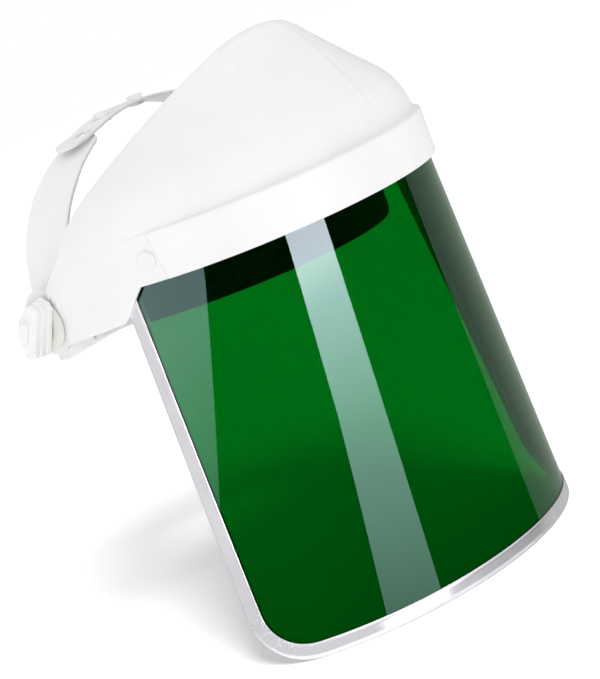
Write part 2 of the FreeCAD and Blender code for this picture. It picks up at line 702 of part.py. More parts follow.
def make_ratchet_drive():
    """Grip knob on the shaft, and the pinion between the two rear straps."""
    rear_x, rear_y = Vec(-1, 0, 0), Vec(0, 0, 1)
    z = dim("nape_z")
    knob = new_body("ratchet_knob")
    disc(knob, "grip", "Dimensions.ratchet_knob_radius", "Dimensions.ratchet_knob_depth")
    doc.recompute()
    notch_sketch = new_sketch(knob, "notch_sketch")
    index = notch_sketch.addGeometry(Part.Circle(Vec(15, 0, 0), Vec(0, 0, 1), 1.7), False)
    notch_sketch.addConstraint(Sketcher.Constraint("PointOnObject", index, 3, -1))
    spot = notch_sketch.addConstraint(Sketcher.Constraint("DistanceX", -1, 1, index, 3, 15.0))
    notch_sketch.setExpression("Constraints[%d]" % spot, "Dimensions.ratchet_knob_radius")
    size = notch_sketch.addConstraint(Sketcher.Constraint("Radius", index, 1.7))
    notch_sketch.setExpression("Constraints[%d]" % size, "Dimensions.grip_radius")
    notch = pocket(knob, notch_sketch, "notch", "Dimensions.ratchet_knob_depth")
    doc.recompute()
    notches = knob.newObject("PartDesign::PolarPattern", "notches")
    notches.Originals = [notch]
    notches.Axis = (notch_sketch, ["N_Axis"])
    notches.Angle = 360
    notches.Occurrences = 14
    bore_sketch = new_sketch(knob, "bore_sketch")
    add_circle(bore_sketch, "Dimensions.ratchet_shaft_radius + 0.05")
    pocket(knob, bore_sketch, "bore", "Dimensions.ratchet_knob_bore")
    place(knob, Vec(0, dim("ratchet_knob_inner_y"), z), rear_x, rear_y)

    pinion = new_body("ratchet_pinion")
    thickness = "Dimensions.pinion_thickness"
    disc(pinion, "root", "Dimensions.pinion_root_radius", thickness)
    disc(pinion, "shaft", "Dimensions.ratchet_shaft_radius", "Dimensions.ratchet_shaft_length",
         thickness)
    doc.recompute()
    tooth_sketch = new_sketch(pinion, "tooth_sketch")
    add_outline(tooth_sketch, [("Dimensions.pinion_root_radius - 0.8", "-0.9"),
                               ("Dimensions.pinion_radius", "-0.5"),
                               ("Dimensions.pinion_radius", "0.5"),
                               ("Dimensions.pinion_root_radius - 0.8", "0.9")])
    tooth = pad(pinion, tooth_sketch, "tooth", thickness)
    doc.recompute()
    teeth = pinion.newObject("PartDesign::PolarPattern", "teeth")
    teeth.Originals = [tooth]
    teeth.Axis = (tooth_sketch, ["N_Axis"])
    teeth.Angle = 360
    teeth.Occurrences = 8
    pinion.Tip = teeth
    open_side = dim("ring_centre_y") + dim("ring_half_length") - nape_inner_face()
    place(pinion, Vec(0, open_side + 0.3, z), rear_x, rear_y)
    return {"ratchet_knob": knob, "ratchet_pinion": pinion}


def make_cover_screw(name, side):
    """Screw that holds the ratchet cover to the housing from inside the pad."""
    screw = new_body("cover_screw_" + name)
    disc(screw, "head", "Dimensions.screw_head_radius", "Dimensions.screw_head_height")
    disc(screw, "shank", "Dimensions.screw_radius - 0.05", "Dimensions.screw_length", "0")
    half_x, half_y = dim("ring_half_width"), dim("ring_half_length")
    inset = nape_inner_face() + 0.1 + dim("cover_wall")
    x = dim("screw_offset_x")
    inner_y = dim("ring_centre_y") + (half_y - inset) * math.sqrt(1 - (x / (half_x - inset)) ** 2)
    seat_y = inner_y - dim("screw_head_height") - 1.0
    place(screw, Vec(side * x, seat_y, dim("nape_z")), Vec(-1, 0, 0), Vec(0, 0, 1))
    return {"cover_screw_" + name: screw}


# ---------------------------------------------------------------- build and export

parts = {}
browguard = make_browguard()
visor = make_visor()
headband = make_headband()
for item in [browguard, visor, make_binding(visor), headband, make_sweatband(headband)]:
    parts[item.Label] = item
for item in make_crown_straps() + tuple(make_nape_unit()):
    parts[item.Label] = item
for name, side in SIDES.items():
    strap = make_nape_strap("nape_strap_" + name, side)
    parts[strap.Label] = strap
    parts.update(make_pivot_parts(name, side))
    parts.update(make_stud_parts(name, side))
    parts.update(make_cover_screw(name, side))
parts.update(make_ratchet_drive())
doc.recompute()

for item in doc.Objects:
    if "Invalid" in item.State or "Error" in item.State:
        raise RuntimeError("%s: %s" % (item.Label, item.State))

os.makedirs("parts", exist_ok=True)
for label, item in sorted(parts.items()):
    shape = item.Shape
    if shape.isNull() or not shape.isValid() or shape.Volume <= 0:
        raise RuntimeError("bad shape: " + label)
    shape.exportStep("parts/%s.step" % label)
    print("%-22s %9.0f mm3  solids %d" % (label, shape.Volume, len(shape.Solids)))
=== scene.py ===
"""Looks for the tilting face shield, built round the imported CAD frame.

Lengths in this script are millimetres in the object's own frame and become metres
when a mesh is made. The wearer faces -Y, +Z is up and the wearer's right is -X.
"""

import math

import bmesh
import bpy
import numpy as np
from mathutils import Matrix, Vector


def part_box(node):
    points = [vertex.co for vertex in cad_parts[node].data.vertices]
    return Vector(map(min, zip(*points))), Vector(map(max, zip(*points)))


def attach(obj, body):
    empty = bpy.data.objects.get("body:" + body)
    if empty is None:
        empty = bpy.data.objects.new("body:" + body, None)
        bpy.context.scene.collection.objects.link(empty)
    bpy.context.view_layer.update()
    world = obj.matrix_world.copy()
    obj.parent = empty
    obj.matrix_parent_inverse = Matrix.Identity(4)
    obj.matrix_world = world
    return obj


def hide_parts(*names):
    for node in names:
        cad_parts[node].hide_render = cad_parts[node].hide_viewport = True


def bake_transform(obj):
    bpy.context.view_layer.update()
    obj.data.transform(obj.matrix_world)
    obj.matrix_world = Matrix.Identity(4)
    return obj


MM = 0.001
RIGHT, LEFT = -1.0, 1.0
SIDE_NAMES = {RIGHT: "right", LEFT: "left"}

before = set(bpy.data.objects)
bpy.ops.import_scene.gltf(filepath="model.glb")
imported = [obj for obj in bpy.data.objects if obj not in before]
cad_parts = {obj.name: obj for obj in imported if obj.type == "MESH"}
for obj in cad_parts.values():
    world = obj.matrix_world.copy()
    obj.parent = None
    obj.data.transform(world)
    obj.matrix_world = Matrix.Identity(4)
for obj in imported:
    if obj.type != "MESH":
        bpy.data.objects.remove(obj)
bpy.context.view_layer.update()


# ---- mesh helpers

def make_object(name, verts, faces, material, smooth=True):
    """A mesh object from millimetre points."""
    mesh = bpy.data.meshes.new(name)
    mesh.from_pydata([tuple(v) for v in np.asarray(verts, float) * MM], [], faces)
    mesh.validate()
    mesh.update()
    obj = bpy.data.objects.new(name, mesh)
    bpy.context.scene.collection.objects.link(obj)
    if material:
        mesh.materials.append(material)
    if smooth:
        mesh.polygons.foreach_set("use_smooth", [True] * len(mesh.polygons))
    return obj


def loft_faces(rows, cols, closed_cols=True, first=0):
    """Quads between rows of points; each row closes on itself when closed_cols."""
    faces = []
    span = cols if closed_cols else cols - 1
    for r in range(rows - 1):
        for c in range(span):
            d = (c + 1) % cols
            base, above = first + r * cols, first + (r + 1) * cols
            faces.append((base + c, base + d, above + d, above + c))
    return faces


def paired_cap(start, cols, flip):
    """Faces that close a thin section whose points pair up across its thickness."""
    faces = [(0, 1, cols - 1)]
    half = cols // 2
    for a in range(1, half - 1):
        faces.append((a, a + 1, cols - a - 1, cols - a))
    faces.append((half - 1, half, half + 1))
    turned = [tuple(start + i for i in f) for f in faces]
    return [f[::-1] for f in turned] if flip else turned


def unit(vectors):
    length = np.linalg.norm(vectors, axis=-1, keepdims=True)
    return vectors / np.maximum(length, 1e-9)


ROUND_STEPS = (0.42, 0.80, 0.97)


def shell(name, columns, rim, material):
    """Closed sheet with rounded free edges, from columns of (outer, inner) point pairs."""
    pairs = np.array(columns, float)
    outer, inner = pairs[:, :, 0], pairs[:, :, 1]
    mid, half = (outer + inner) / 2, (outer - inner) / 2
    first = unit(mid[0] - mid[1])
    last = unit(mid[-1] - mid[-2])
    tops, bottoms = [], []
    for s in ROUND_STEPS[::-1]:
        c = math.sqrt(1 - s * s)
        tops.append((mid[0] + first * rim * s, half[0] * c))
        bottoms.append((mid[-1] + last * rim * s, half[-1] * c))
    mids = np.array([m for m, _ in tops] + list(mid) + [m for m, _ in bottoms[::-1]])
    halves = np.array([h for _, h in tops] + list(half) + [h for _, h in bottoms[::-1]])
    head, tail = unit(mids[:, 0] - mids[:, 1]), unit(mids[:, -1] - mids[:, -2])
    cos45 = math.sqrt(0.5)
    sections = []
    for m, h, ahead, behind in zip(mids, halves, head, tail):
        near, far = m[0] + ahead * rim * cos45, m[-1] + behind * rim * cos45
        row = [m[0] + ahead * rim, near + h[0] * cos45]
        row += list(m + h)
        row += [far + h[-1] * cos45, m[-1] + behind * rim, far - h[-1] * cos45]
        row += list((m - h)[::-1])
        row += [near - h[0] * cos45]
        sections.append(row)
    verts = np.array(sections)
    rows, cols = verts.shape[:2]
    faces = loft_faces(rows, cols)
    faces += paired_cap(0, cols, True) + paired_cap((rows - 1) * cols, cols, False)
    return tidy_normals(make_object(name, verts.reshape(-1, 3), faces, material))


def tidy_normals(obj):
    """Make the faces of a closed mesh look outwards."""
    work = bmesh.new()
    work.from_mesh(obj.data)
    bmesh.ops.recalc_face_normals(work, faces=work.faces)
    work.to_mesh(obj.data)
    work.free()
    return obj


def lathe(name, profile, origin, axis, material, around=72, ripple=None):
    """Turned piece: profile points are (height along axis, radius)."""
    axis = Vector(axis).normalized()
    side = axis.orthogonal().normalized()
    other = axis.cross(side)
    verts = []
    for h, r in profile:
        for k in range(around):
            t = 2 * math.pi * k / around
            rr = r + (ripple(t, h, r) if ripple else 0.0)
            p = Vector(origin) + axis * h + (side * math.cos(t) + other * math.sin(t)) * rr
            verts.append(tuple(p))
    faces = loft_faces(len(profile), around)
    if profile[0] != profile[-1]:
        verts += [tuple(Vector(origin) + axis * profile[0][0]),
                  tuple(Vector(origin) + axis * profile[-1][0])]
        low, high = len(verts) - 2, len(verts) - 1
        top = (len(profile) - 1) * around
        for k in range(around):
            n = (k + 1) % around
            faces.append((low, n, k))
            faces.append((high, top + k, top + n))
    return tidy_normals(make_object(name, verts, faces, material))


def apply_modifiers(obj):
    graph = bpy.context.evaluated_depsgraph_get()
    mesh = bpy.data.meshes.new_from_object(obj.evaluated_get(graph))
    old = obj.data
    obj.modifiers.clear()
    obj.data = mesh
    bpy.data.meshes.remove(old)
    return obj


def cut(obj, cutter):
    """Take the cutter's volume out of obj."""
    boolean = obj.modifiers.new("cut", "BOOLEAN")
    boolean.operation = "DIFFERENCE"
    boolean.solver = "EXACT"
    boolean.object = cutter
    apply_modifiers(obj)
    bpy.data.objects.remove(cutter)
    return obj


def join(name, objects):
    """One object from several meshes that touch or overlap."""
    base = objects[0]
    with bpy.context.temp_override(active_object=base, selected_editable_objects=objects):
        bpy.ops.object.join()
    base.name = name
    base.data.name = name
    return base


def softened(name, node, voxel, passes, material, factor=0.5):
    """A CAD piece copied, remeshed finely and relaxed, so that its edges are rounded."""
    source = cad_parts[node]
    obj = bpy.data.objects.new(name, source.data.copy())
    bpy.context.scene.collection.objects.link(obj)
    weld = obj.modifiers.new("weld", "WELD")
    weld.merge_threshold = 1e-6
    remesh = obj.modifiers.new("remesh", "REMESH")
    remesh.mode = "VOXEL"
    remesh.voxel_size = voxel * MM
    remesh.adaptivity = 0.0
    relax = obj.modifiers.new("relax", "SMOOTH")
    relax.factor = factor
    relax.iterations = passes
    apply_modifiers(obj)
    obj.data.materials.clear()
    obj.data.materials.append(material)
    obj.data.polygons.foreach_set("use_smooth", [True] * len(obj.data.polygons))
    return obj


def smoothstep(x, low, high):
    t = np.clip((np.asarray(x, float) - low) / (high - low), 0, 1)
    return t * t * (3 - 2 * t)


def settle(obj, body, slot, *nodes):
    """Ride on a body and stand for CAD nodes, which are hidden; the slot argument is not used."""
    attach(obj, body)
    if nodes:
        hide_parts(*nodes)
    return obj


# ---- materials

def new_material(name):
    material = bpy.data.materials.new(name)
    material.use_nodes = True
    tree = material.node_tree
    return material, tree, tree.nodes["Principled BSDF"]


def set_inputs(node, **values):
    """Set a node's inputs; an underscore in a key stands for a space."""
    for key, value in values.items():
        node.inputs[key.replace("_", " ")].default_value = value


def add_node(tree, kind, **values):
    """New shader node with some of its inputs set."""
    node = tree.nodes.new("ShaderNode" + kind)
    set_inputs(node, **values)
    return node


def noise(tree, scale, detail=3.0, roughness=0.5, stretch=None):
    """Noise in object space, scale in features per metre."""
    where = add_node(tree, "TexCoord")
    texture = add_node(tree, "TexNoise", Scale=scale, Detail=detail, Roughness=roughness)
    source = where.outputs["Object"]
    if stretch:
        mapping = add_node(tree, "Mapping", Scale=stretch)
        tree.links.new(source, mapping.inputs["Vector"])
        source = mapping.outputs["Vector"]
    tree.links.new(source, texture.inputs["Vector"])
    return texture.outputs["Fac"]


def ramp(tree, source, stops):
    node = add_node(tree, "ValToRGB")
    elements = node.color_ramp.elements
    while len(elements) < len(stops):
        elements.new(0.5)
    for element, (place, colour) in zip(elements, stops):
        element.position = place
        value = colour if isinstance(colour, tuple) else (colour, colour, colour)
        element.color = (*value, 1.0)
    tree.links.new(source, node.inputs["Fac"])
    return node.outputs["Color"]


def bump(tree, shader, height, strength, distance, after=None):
    node = add_node(tree, "Bump", Strength=strength, Distance=distance * MM)
    tree.links.new(height, node.inputs["Height"])
    if after:
        tree.links.new(after, node.inputs["Normal"])
    tree.links.new(node.outputs["Normal"], shader.inputs["Normal"])
    return node.outputs["Normal"]


def moulded_plastic(name, colour, rough, grain=0.03, soil=0.03):
    """Satin thermoplastic: fine mould texture, slight unevenness and handling marks."""
    material, tree, shader = new_material(name)
    set_inputs(shader, IOR=1.5, Specular_IOR_Level=0.3)
    darker = tuple(c * (1 - soil) for c in colour)
    tint = ramp(tree, noise(tree, 38, 5.0, 0.6), [(0.35, darker), (0.7, colour)])
    tree.links.new(tint, shader.inputs["Base Color"])
    gloss = ramp(tree, noise(tree, 160, 4.0), [(0.3, rough * 0.8), (0.75, rough * 1.25)])
    tree.links.new(gloss, shader.inputs["Roughness"])
    fine = bump(tree, shader, noise(tree, 2600, 2.0), 0.25, grain)
    bump(tree, shader, noise(tree, 60, 2.0), 0.15, 0.12, fine)
    return material


def green_sheet(name):
    """Polished transparent green sheet with faint wipe scratches."""
    material, tree, shader = new_material(name)
    set_inputs(shader, IOR=1.5, Transmission_Weight=1.0, Specular_Tint=(0.62, 0.95, 0.97, 1.0))
    cloud = ramp(tree, noise(tree, 9, 3.0), [(0.3, (0.0002, 0.110, 0.0056)),
                                             (0.75, (0.0003, 0.126, 0.0066))])
    tree.links.new(cloud, shader.inputs["Base Color"])
    scratches = noise(tree, 1.0, 4.0, 0.7, stretch=(900, 900, 22))
    marks = ramp(tree, scratches, [(0.66, 0.012), (0.74, 0.11)])
    tree.links.new(marks, shader.inputs["Roughness"])
    bump(tree, shader, noise(tree, 14, 2.0), 0.06, 0.25)
    return material


def rolled_metal(name, colour, rough, streak, depth, metallic=1.0, dents=0.35):
    """Bright metal with fine rolling streaks and small dents."""
    material, tree, shader = new_material(name)
    set_inputs(shader, Metallic=metallic)
    lines = noise(tree, 1.0, 5.0, 0.6, stretch=streak)
    darker = tuple(c * 0.8 for c in colour)
    tree.links.new(ramp(tree, lines, [(0.3, darker), (0.62, colour)]),
                   shader.inputs["Base Color"])
    tree.links.new(ramp(tree, lines, [(0.3, rough * 1.5), (0.7, rough * 0.8)]),
                   shader.inputs["Roughness"])
    fine = bump(tree, shader, lines, 0.3, depth)
    bump(tree, shader, noise(tree, 240, 3.0), 0.5, dents, fine)
    return material


def woven_cover(name, colour, pitch=0.9):
    """Soft looped cover: a crossed weave with fuzz and sheen."""
    material, tree, shader = new_material(name)
    set_inputs(shader, Roughness=0.92, Sheen_Weight=0.35, Sheen_Roughness=0.45,
               Specular_IOR_Level=0.2)
    where = add_node(tree, "TexCoord")
    heights = []
    for direction in ("DIAGONAL", "Z"):
        wave = add_node(tree, "TexWave", Scale=0.31 / (pitch * MM) * 0.5, Distortion=1.2, Detail=2.0)
        wave.wave_type = "BANDS"
        wave.bands_direction = direction
        tree.links.new(where.outputs["Object"], wave.inputs["Vector"])
        heights.append(wave.outputs["Fac"])
    both = add_node(tree, "Math")
    both.operation = "MULTIPLY"
    tree.links.new(heights[0], both.inputs[0])
    tree.links.new(heights[1], both.inputs[1])
    lighter = tuple(min(1.0, c * 1.3) for c in colour)
    tree.links.new(ramp(tree, both.outputs[0], [(0.1, colour), (0.8, lighter)]),
                   shader.inputs["Base Color"])
    weave = bump(tree, shader, both.outputs[0], 0.4, 0.2)
    bump(tree, shader, noise(tree, 900, 4.0), 0.5, 0.3, weave)
    return material


shell_white = moulded_plastic("shell_white_plastic", (0.885, 0.885, 0.882), 0.42)
headgear_white = moulded_plastic("headgear_white_plastic", (0.91, 0.91, 0.907), 0.45)
knob_white = moulded_plastic("knob_white_plastic", (0.91, 0.91, 0.907), 0.42)
nylon = moulded_plastic("washer_nylon_plastic", (0.78, 0.77, 0.72), 0.5)
ratchet_dark = moulded_plastic("ratchet_dark_plastic", (0.035, 0.035, 0.038), 0.45, 0.06, 0.25)
green = green_sheet("visor_green_sheet")
bright_strip = rolled_metal("binding_rolled_metal", (0.90, 0.90, 0.935), 0.2, (22, 22, 22), 0.02,
                            metallic=0.72, dents=0.08)
steel = rolled_metal("bolt_plated_steel", (0.72, 0.72, 0.70), 0.28, (300, 300, 300), 0.03)
brass = rolled_metal("insert_turned_brass", (0.80, 0.62, 0.30), 0.3, (300, 300, 300), 0.03)
sweat_cover = woven_cover("sweatband_looped_cover", (0.012, 0.013, 0.015))
nape_cover = woven_cover("nape_pad_looped_cover", (0.014, 0.015, 0.017))
thread = moulded_plastic("stitching_thread", (0.045, 0.047, 0.05), 0.8, 0.1)


# ---- browguard

SHELL_CENTRE_Y = -57.0
RIM_Z, BAND_TOP_Z = 8.0, 30.0
WALL = 2.2
PANEL_PLAN = (98.8, 88.6)
BAND_PLAN = (99.7, 89.5)
BEVEL_RIM_Y, BEVEL_TOP_Y = -91.5, -89.0
DOME_Z = np.array([24.0, 30.0, 38.0, 48.0, 66.0, 84.0, 100.0])
DOME_WIDTH = np.array([98.8, 98.9, 98.2, 94.0, 75.0, 55.5, 42.0])
DOME_DEPTH = np.array([84.7, 84.1, 82.6, 79.6, 69.0, 57.0, 46.0])
TOE_IN, TOE_SPAN = 11.6, 101.0
REAR_START = (-31.0, 31.0)
REAR_SLOPE = 71.0 / 83.0
PANEL_CORNER = np.array([(-77.0, 8.0), (-65.0, -3.5), (-60.5, -6.5), (-10.73, -12.0)])
PIVOT_ROUND = 16.1
BOSS_RADIUS = 15.5
BOSS_INNER_X, BOSS_OUTER_X = 91.2, 95.2
CREST_HALF, CREST_RISE, CREST_FULL_Z = 22.0, 1.7, 96
PIVOT_BORE = 3.05
POCKET_TOP, POCKET_REAR = 6.5, -55.5


def cubic(x, xs, ys):
    """Smooth curve through points, as a cubic with slopes from its neighbours."""
    slopes = np.gradient(ys, xs)
    i = np.clip(np.searchsorted(xs, x) - 1, 0, len(xs) - 2)
    h = xs[i + 1] - xs[i]
    t = (x - xs[i]) / h
    return ((1 + 2 * t) * (1 - t) ** 2 * ys[i] + t * (1 - t) ** 2 * h * slopes[i]
            + t * t * (3 - 2 * t) * ys[i + 1] + t * t * (t - 1) * h * slopes[i + 1])


def rear_line(y):
    return REAR_START[1] + (REAR_START[0] - y) * REAR_SLOPE


def panel_low(y):
    """Lower edge of the browguard at a plan station, seen from the side."""
    if y <= PANEL_CORNER[-1, 0]:
        return float(np.interp(y, PANEL_CORNER[:, 0], PANEL_CORNER[:, 1]))
    return -math.sqrt(max(PIVOT_ROUND ** 2 - y * y, 0.0))


def panel_high(y):
    """Upper edge of the side panels, behind the dome's widest line."""
    crown_y, crown_z = -0.5 * PIVOT_ROUND, PIVOT_ROUND * math.sqrt(0.75)
    if y >= crown_y:
        return math.sqrt(max(PIVOT_ROUND ** 2 - y * y, 0.0))
    if y >= REAR_START[0]:
        return crown_z + (y - crown_y) / (REAR_START[0] - crown_y) * (BAND_TOP_Z - crown_z)
    return rear_line(y)


def plan_stations():
    """Plan stations from the wearer's right pivot end, round the front, to the left."""
    side_y = [15.9, 15.2, 14.0, 12.2, 10, 7.5, 5, 2.5, 0, -2.5, -5, -8.05, -10.73, -12.62,
              -15, -18, -22, -26, -31, -36, -41, -46, -51, -57]
    theta = [1.3, 2.263, 3.7, 5.18, 7.2, 9.2, 11.2, 13.05, 15, 17, 18.5, 19.6, 20.4]
    theta += list(np.arange(20.8, 23.8, 0.3)) + [24.2, 25.2, 26.5, 28]
    theta += list(np.arange(30, 75.1, 1.5)) + [75.6, 76.2, 76.8, 77.4, 78, 79, 81, 84, 87]
    right = [("side", y) for y in side_y] + [("front", t) for t in theta]
    left = [(k, v if k == "side" else 180 - v) for k, v in right[::-1]]
    return ([(RIGHT, k, v) for k, v in right] + [(RIGHT, "front", 90.0)]
            + [(LEFT, k, v) for k, v in left])


def shell_point(side, kind, value, width, depth, z, rise=0.0):
    """Point on a plan of the browguard."""
    if kind == "front":
        t = math.radians(value)
        x, y = -width * math.cos(t), SHELL_CENTRE_Y - depth * math.sin(t)
        return [x, y - rise * math.sin(t), z]
    toe = TOE_IN * ((value - SHELL_CENTRE_Y) / TOE_SPAN) ** 2
    return [side * (width - toe), value, z]


def shell_top(kind, value):
    """Height of the rear edge at a plan station."""
    if kind == "side":
        return panel_high(value)
    s = math.sin(math.radians(value))
    low, high = BAND_TOP_Z, 99.0
    for _ in range(40):
        z = (low + high) / 2
        y = SHELL_CENTRE_Y - float(cubic(z, DOME_Z, DOME_DEPTH)) * s
        low, high = (z, high) if rear_line(y) > z else (low, z)
    return low


LOWER_SHARES = np.array([0, 0.03, 0.08, 0.18, 0.34, 0.5, 0.66, 0.8, 0.9])
LEDGE_ROWS = [(0.0, -1.4), (0.0, -0.6), (0.05, -0.2), (0.2, 0.0), (0.5, 0.05), (0.8, 0.1),
              (0.95, 0.25), (1.0, 0.7), (1.0, 1.5)]
UPPER_ROWS = 30


def binding_pocket(y, z, panel_x):
    """How much thinner the panel is where the top of the edge binding passes inside it."""
    if z > POCKET_TOP + 1 or y > POCKET_REAR + 1:
        return 0.0
    half, deep, centre = visor_plan(z)
    visor_x = half * math.sqrt(max(0.0, 1 - ((y - centre) / deep) ** 2)) if y < centre else half
    room = panel_x - visor_x - BINDING_WALL - 0.3
    inside = float((1 - smoothstep(z, POCKET_TOP, POCKET_TOP + 1))
                   * (1 - smoothstep(y, POCKET_REAR, POCKET_REAR + 1)))
    return inside * max(0.0, WALL - max(room, 0.14))


def browguard_rows(front, low, high):
    """Heights of one column of points, each with its share of the dome's plan, and the shelf."""
    shelf = BAND_TOP_Z if front else low + 0.66 * (high - low)
    grow = 1.0 if front else min(1.0, (high - low) / 45)
    rows = [(0.0, low + share * (shelf - 2.2 * grow - low)) for share in LOWER_SHARES]
    rows += [(k, shelf + dz * grow) for k, dz in LEDGE_ROWS]
    start = rows[-1][1]
    for i in range(1, UPPER_ROWS + 1):
        rows.append((1.0, start + (high - start) * i / UPPER_ROWS))
    return rows, shelf


def browguard_plan(front, value, k, z):
    """Half width and depth of the browguard at a height; k is the dome's share."""
    wide, deep = PANEL_PLAN
    if front:
        y_here = SHELL_CENTRE_Y - deep * math.sin(math.radians(value))
        bevel = BEVEL_RIM_Y + (BEVEL_TOP_Y - BEVEL_RIM_Y) * (z - RIM_Z) / (BAND_TOP_Z - RIM_Z)
        full = float(smoothstep(bevel - y_here, -0.2, 1.0))
        wide += (BAND_PLAN[0] - wide) * full
        deep += (BAND_PLAN[1] - deep) * full
    dome_z = max(z, 26.0)
    wide += (float(cubic(dome_z, DOME_Z, DOME_WIDTH)) - wide) * k
    deep += (float(cubic(dome_z, DOME_Z, DOME_DEPTH)) - deep) * k
    return wide, deep


def crest_rise(width, value, z):
    """How far the raised crest stands out of the dome's front."""
    if z <= BAND_TOP_Z + 1:
        return 0.0
    x = abs(width * math.cos(math.radians(value)))
    rise = CREST_RISE * float(smoothstep(z, BAND_TOP_Z + 1, CREST_FULL_Z)) ** 0.5
    return rise * (1 - float(smoothstep(x, CREST_HALF - 0.6, CREST_HALF + 0.6)))


def browguard_pair(side, kind, value, k, z, shelf):
    """Outer and inner point of the browguard's wall."""
    front = kind == "front"
    w, d = browguard_plan(front, value, k, z)
    rise = crest_rise(w, value, z) if front else 0.0
    out = shell_point(side, kind, value, w, d, z, rise)
    inward = z - 2.0 * (1 - smoothstep(abs(z - shelf), 2.0, 9.0)) if front else z
    wall = WALL - binding_pocket(out[1], z, abs(out[0]))
    inset = shell_point(side, kind, value, w - wall, d - wall, float(inward))
    if not front:
        ring = math.hypot(value, z)
        boss = 1 - float(smoothstep(ring, BOSS_RADIUS - 0.4, BOSS_RADIUS + 0.5))
        out[0] += (side * BOSS_OUTER_X - out[0]) * boss
        inset[0] += (side * BOSS_INNER_X - inset[0]) * boss
    return out, inset


def browguard_column(side, kind, value):
    """Point pairs from the lower edge to the rear edge at one plan station."""
    front = kind == "front"
    y_rim = SHELL_CENTRE_Y - PANEL_PLAN[1] * math.sin(math.radians(value)) if front else value
    rows, shelf = browguard_rows(front, panel_low(y_rim), shell_top(kind, value))
    return [browguard_pair(side, kind, value, k, z, shelf) for k, z in rows]


def build_browguard():
    columns = [browguard_column(*station) for station in plan_stations()]
    obj = shell("browguard_shell", columns, 0.5, shell_white)
    for side in (RIGHT, LEFT):
        drill = [(-20, PIVOT_BORE), (20, PIVOT_BORE)]
        cut(obj, lathe("bore", drill, (side * 93, 0, 0), (1, 0, 0), None, 48))
    return settle(obj, "face_guard", "shell_white", "browguard")


# ---- visor and binding

VISOR_TOP, VISOR_FOOT = 22.0, -178.0
VISOR_THICK = 1.5
CORNER = 27.0
TOP_PLAN = np.array([94.9, 85.5, -57.5])
FOOT_PLAN = np.array([112.0, 91.2, -50.5])
CUT_TOP_Y, CUT_END = -76.0, (-64.0, 6.0)
FOOT_REAR_Y = -75.0


def visor_plan(z):
    """Half width, depth and centre of the visor's plan at a height."""
    t = (z - VISOR_FOOT) / (VISOR_TOP - VISOR_FOOT)
    return FOOT_PLAN + (TOP_PLAN - FOOT_PLAN) * t


def visor_point(theta, z, inset=0.0):
    half, deep, centre = visor_plan(z)
    return np.array([-(half - inset) * math.cos(theta),
                     centre - (deep - inset) * math.sin(theta), z])


def visor_theta(y, z):
    _, deep, centre = visor_plan(z)
    return math.asin(min(1.0, (centre - y) / deep))


def corner_frame():
    """Centre and end angles of the round foot corner in the side view (y, z)."""
    along = np.array([FOOT_REAR_Y - CUT_END[0], VISOR_FOOT - CUT_END[1]])
    along /= np.linalg.norm(along)
    foot = np.array([FOOT_REAR_Y, VISOR_FOOT])
    ahead = np.array([-1.0, 0.0])
    bend = math.acos(float(along @ ahead))
    reach = CORNER * math.tan(bend / 2)
    bisector = ahead - along
    bisector /= np.linalg.norm(bisector)
    centre = foot + bisector * CORNER / math.cos(bend / 2)
    start, end = foot - along * reach, foot + ahead * reach
    angles = [math.atan2(*(p - centre)[::-1]) for p in (start, end)]
    if angles[1] > angles[0]:
        angles[1] -= 2 * math.pi
    return centre, angles, start, end


CORNER_CENTRE, CORNER_ANGLES, CORNER_START, CORNER_END = corner_frame()


def visor_rear(z):
    """Rear border of the visor in the side view."""
    if z > CUT_END[1]:
        t = (z - CUT_END[1]) / (VISOR_TOP - CUT_END[1])
        return CUT_END[0] + (CUT_TOP_Y - CUT_END[0]) * t
    if z > CORNER_START[1]:
        t = (z - CUT_END[1]) / (CORNER_START[1] - CUT_END[1])
        return CUT_END[0] + (CORNER_START[0] - CUT_END[0]) * t
    dz = z - CORNER_CENTRE[1]
    return CORNER_CENTRE[0] + math.sqrt(max(CORNER ** 2 - dz * dz, 0.0))


def build_visor():
    heights = [VISOR_TOP, 18, 14, 10, 6, 4]
    heights += list(np.linspace(0, CORNER_START[1], 38))
    turn = np.linspace(0, math.pi / 2, 14)[1:]
    drop = CORNER_START[1] - VISOR_FOOT - 0.12
    heights += list(CORNER_START[1] - drop * np.sin(turn))
    columns = []
    for z in heights:
        start = visor_theta(visor_rear(z), z)
        thetas = np.linspace(start, math.pi - start, 121)
        columns.append([(visor_point(t, z), visor_point(t, z, VISOR_THICK)) for t in thetas])
    obj = shell("visor_sheet", columns, 0.25, green)
    return settle(obj, "face_guard", "visor_green", "visor")


BINDING_FACE, BINDING_WALL = 6.6, 0.8
BINDING_TOP = 4.5


def binding_path():
    """Right half of the visor's free edge: (theta or None, y, z, inward y, inward z, fold)."""
    steps = []
    rear = np.array([CORNER_START[0] - CUT_END[0], CORNER_START[1] - CUT_END[1]])
    rear /= np.linalg.norm(rear)
    inward = np.array([rear[1], -rear[0]])
    for t in np.linspace(0, 1, 60):
        y = CUT_END[0] + (CORNER_START[0] - CUT_END[0]) * t
        z = BINDING_TOP + (CORNER_START[1] - BINDING_TOP) * t
        steps.append((None, y, z, inward[0], inward[1], 0.0))
    for i, a in enumerate(np.linspace(*CORNER_ANGLES, 72)[1:]):
        out = np.array([math.cos(a), math.sin(a)])
        y, z = CORNER_CENTRE + CORNER * out
        fold = math.sin(math.pi * (i + 1) / 71)
        steps.append((None, y, z, -out[0], -out[1], fold))
    foot_theta = visor_theta(CORNER_END[0], VISOR_FOOT)
    for t in np.linspace(foot_theta, math.pi / 2, 60)[1:]:
        steps.append((t, None, VISOR_FOOT, 0.0, 1.0, 0.0))
    return steps


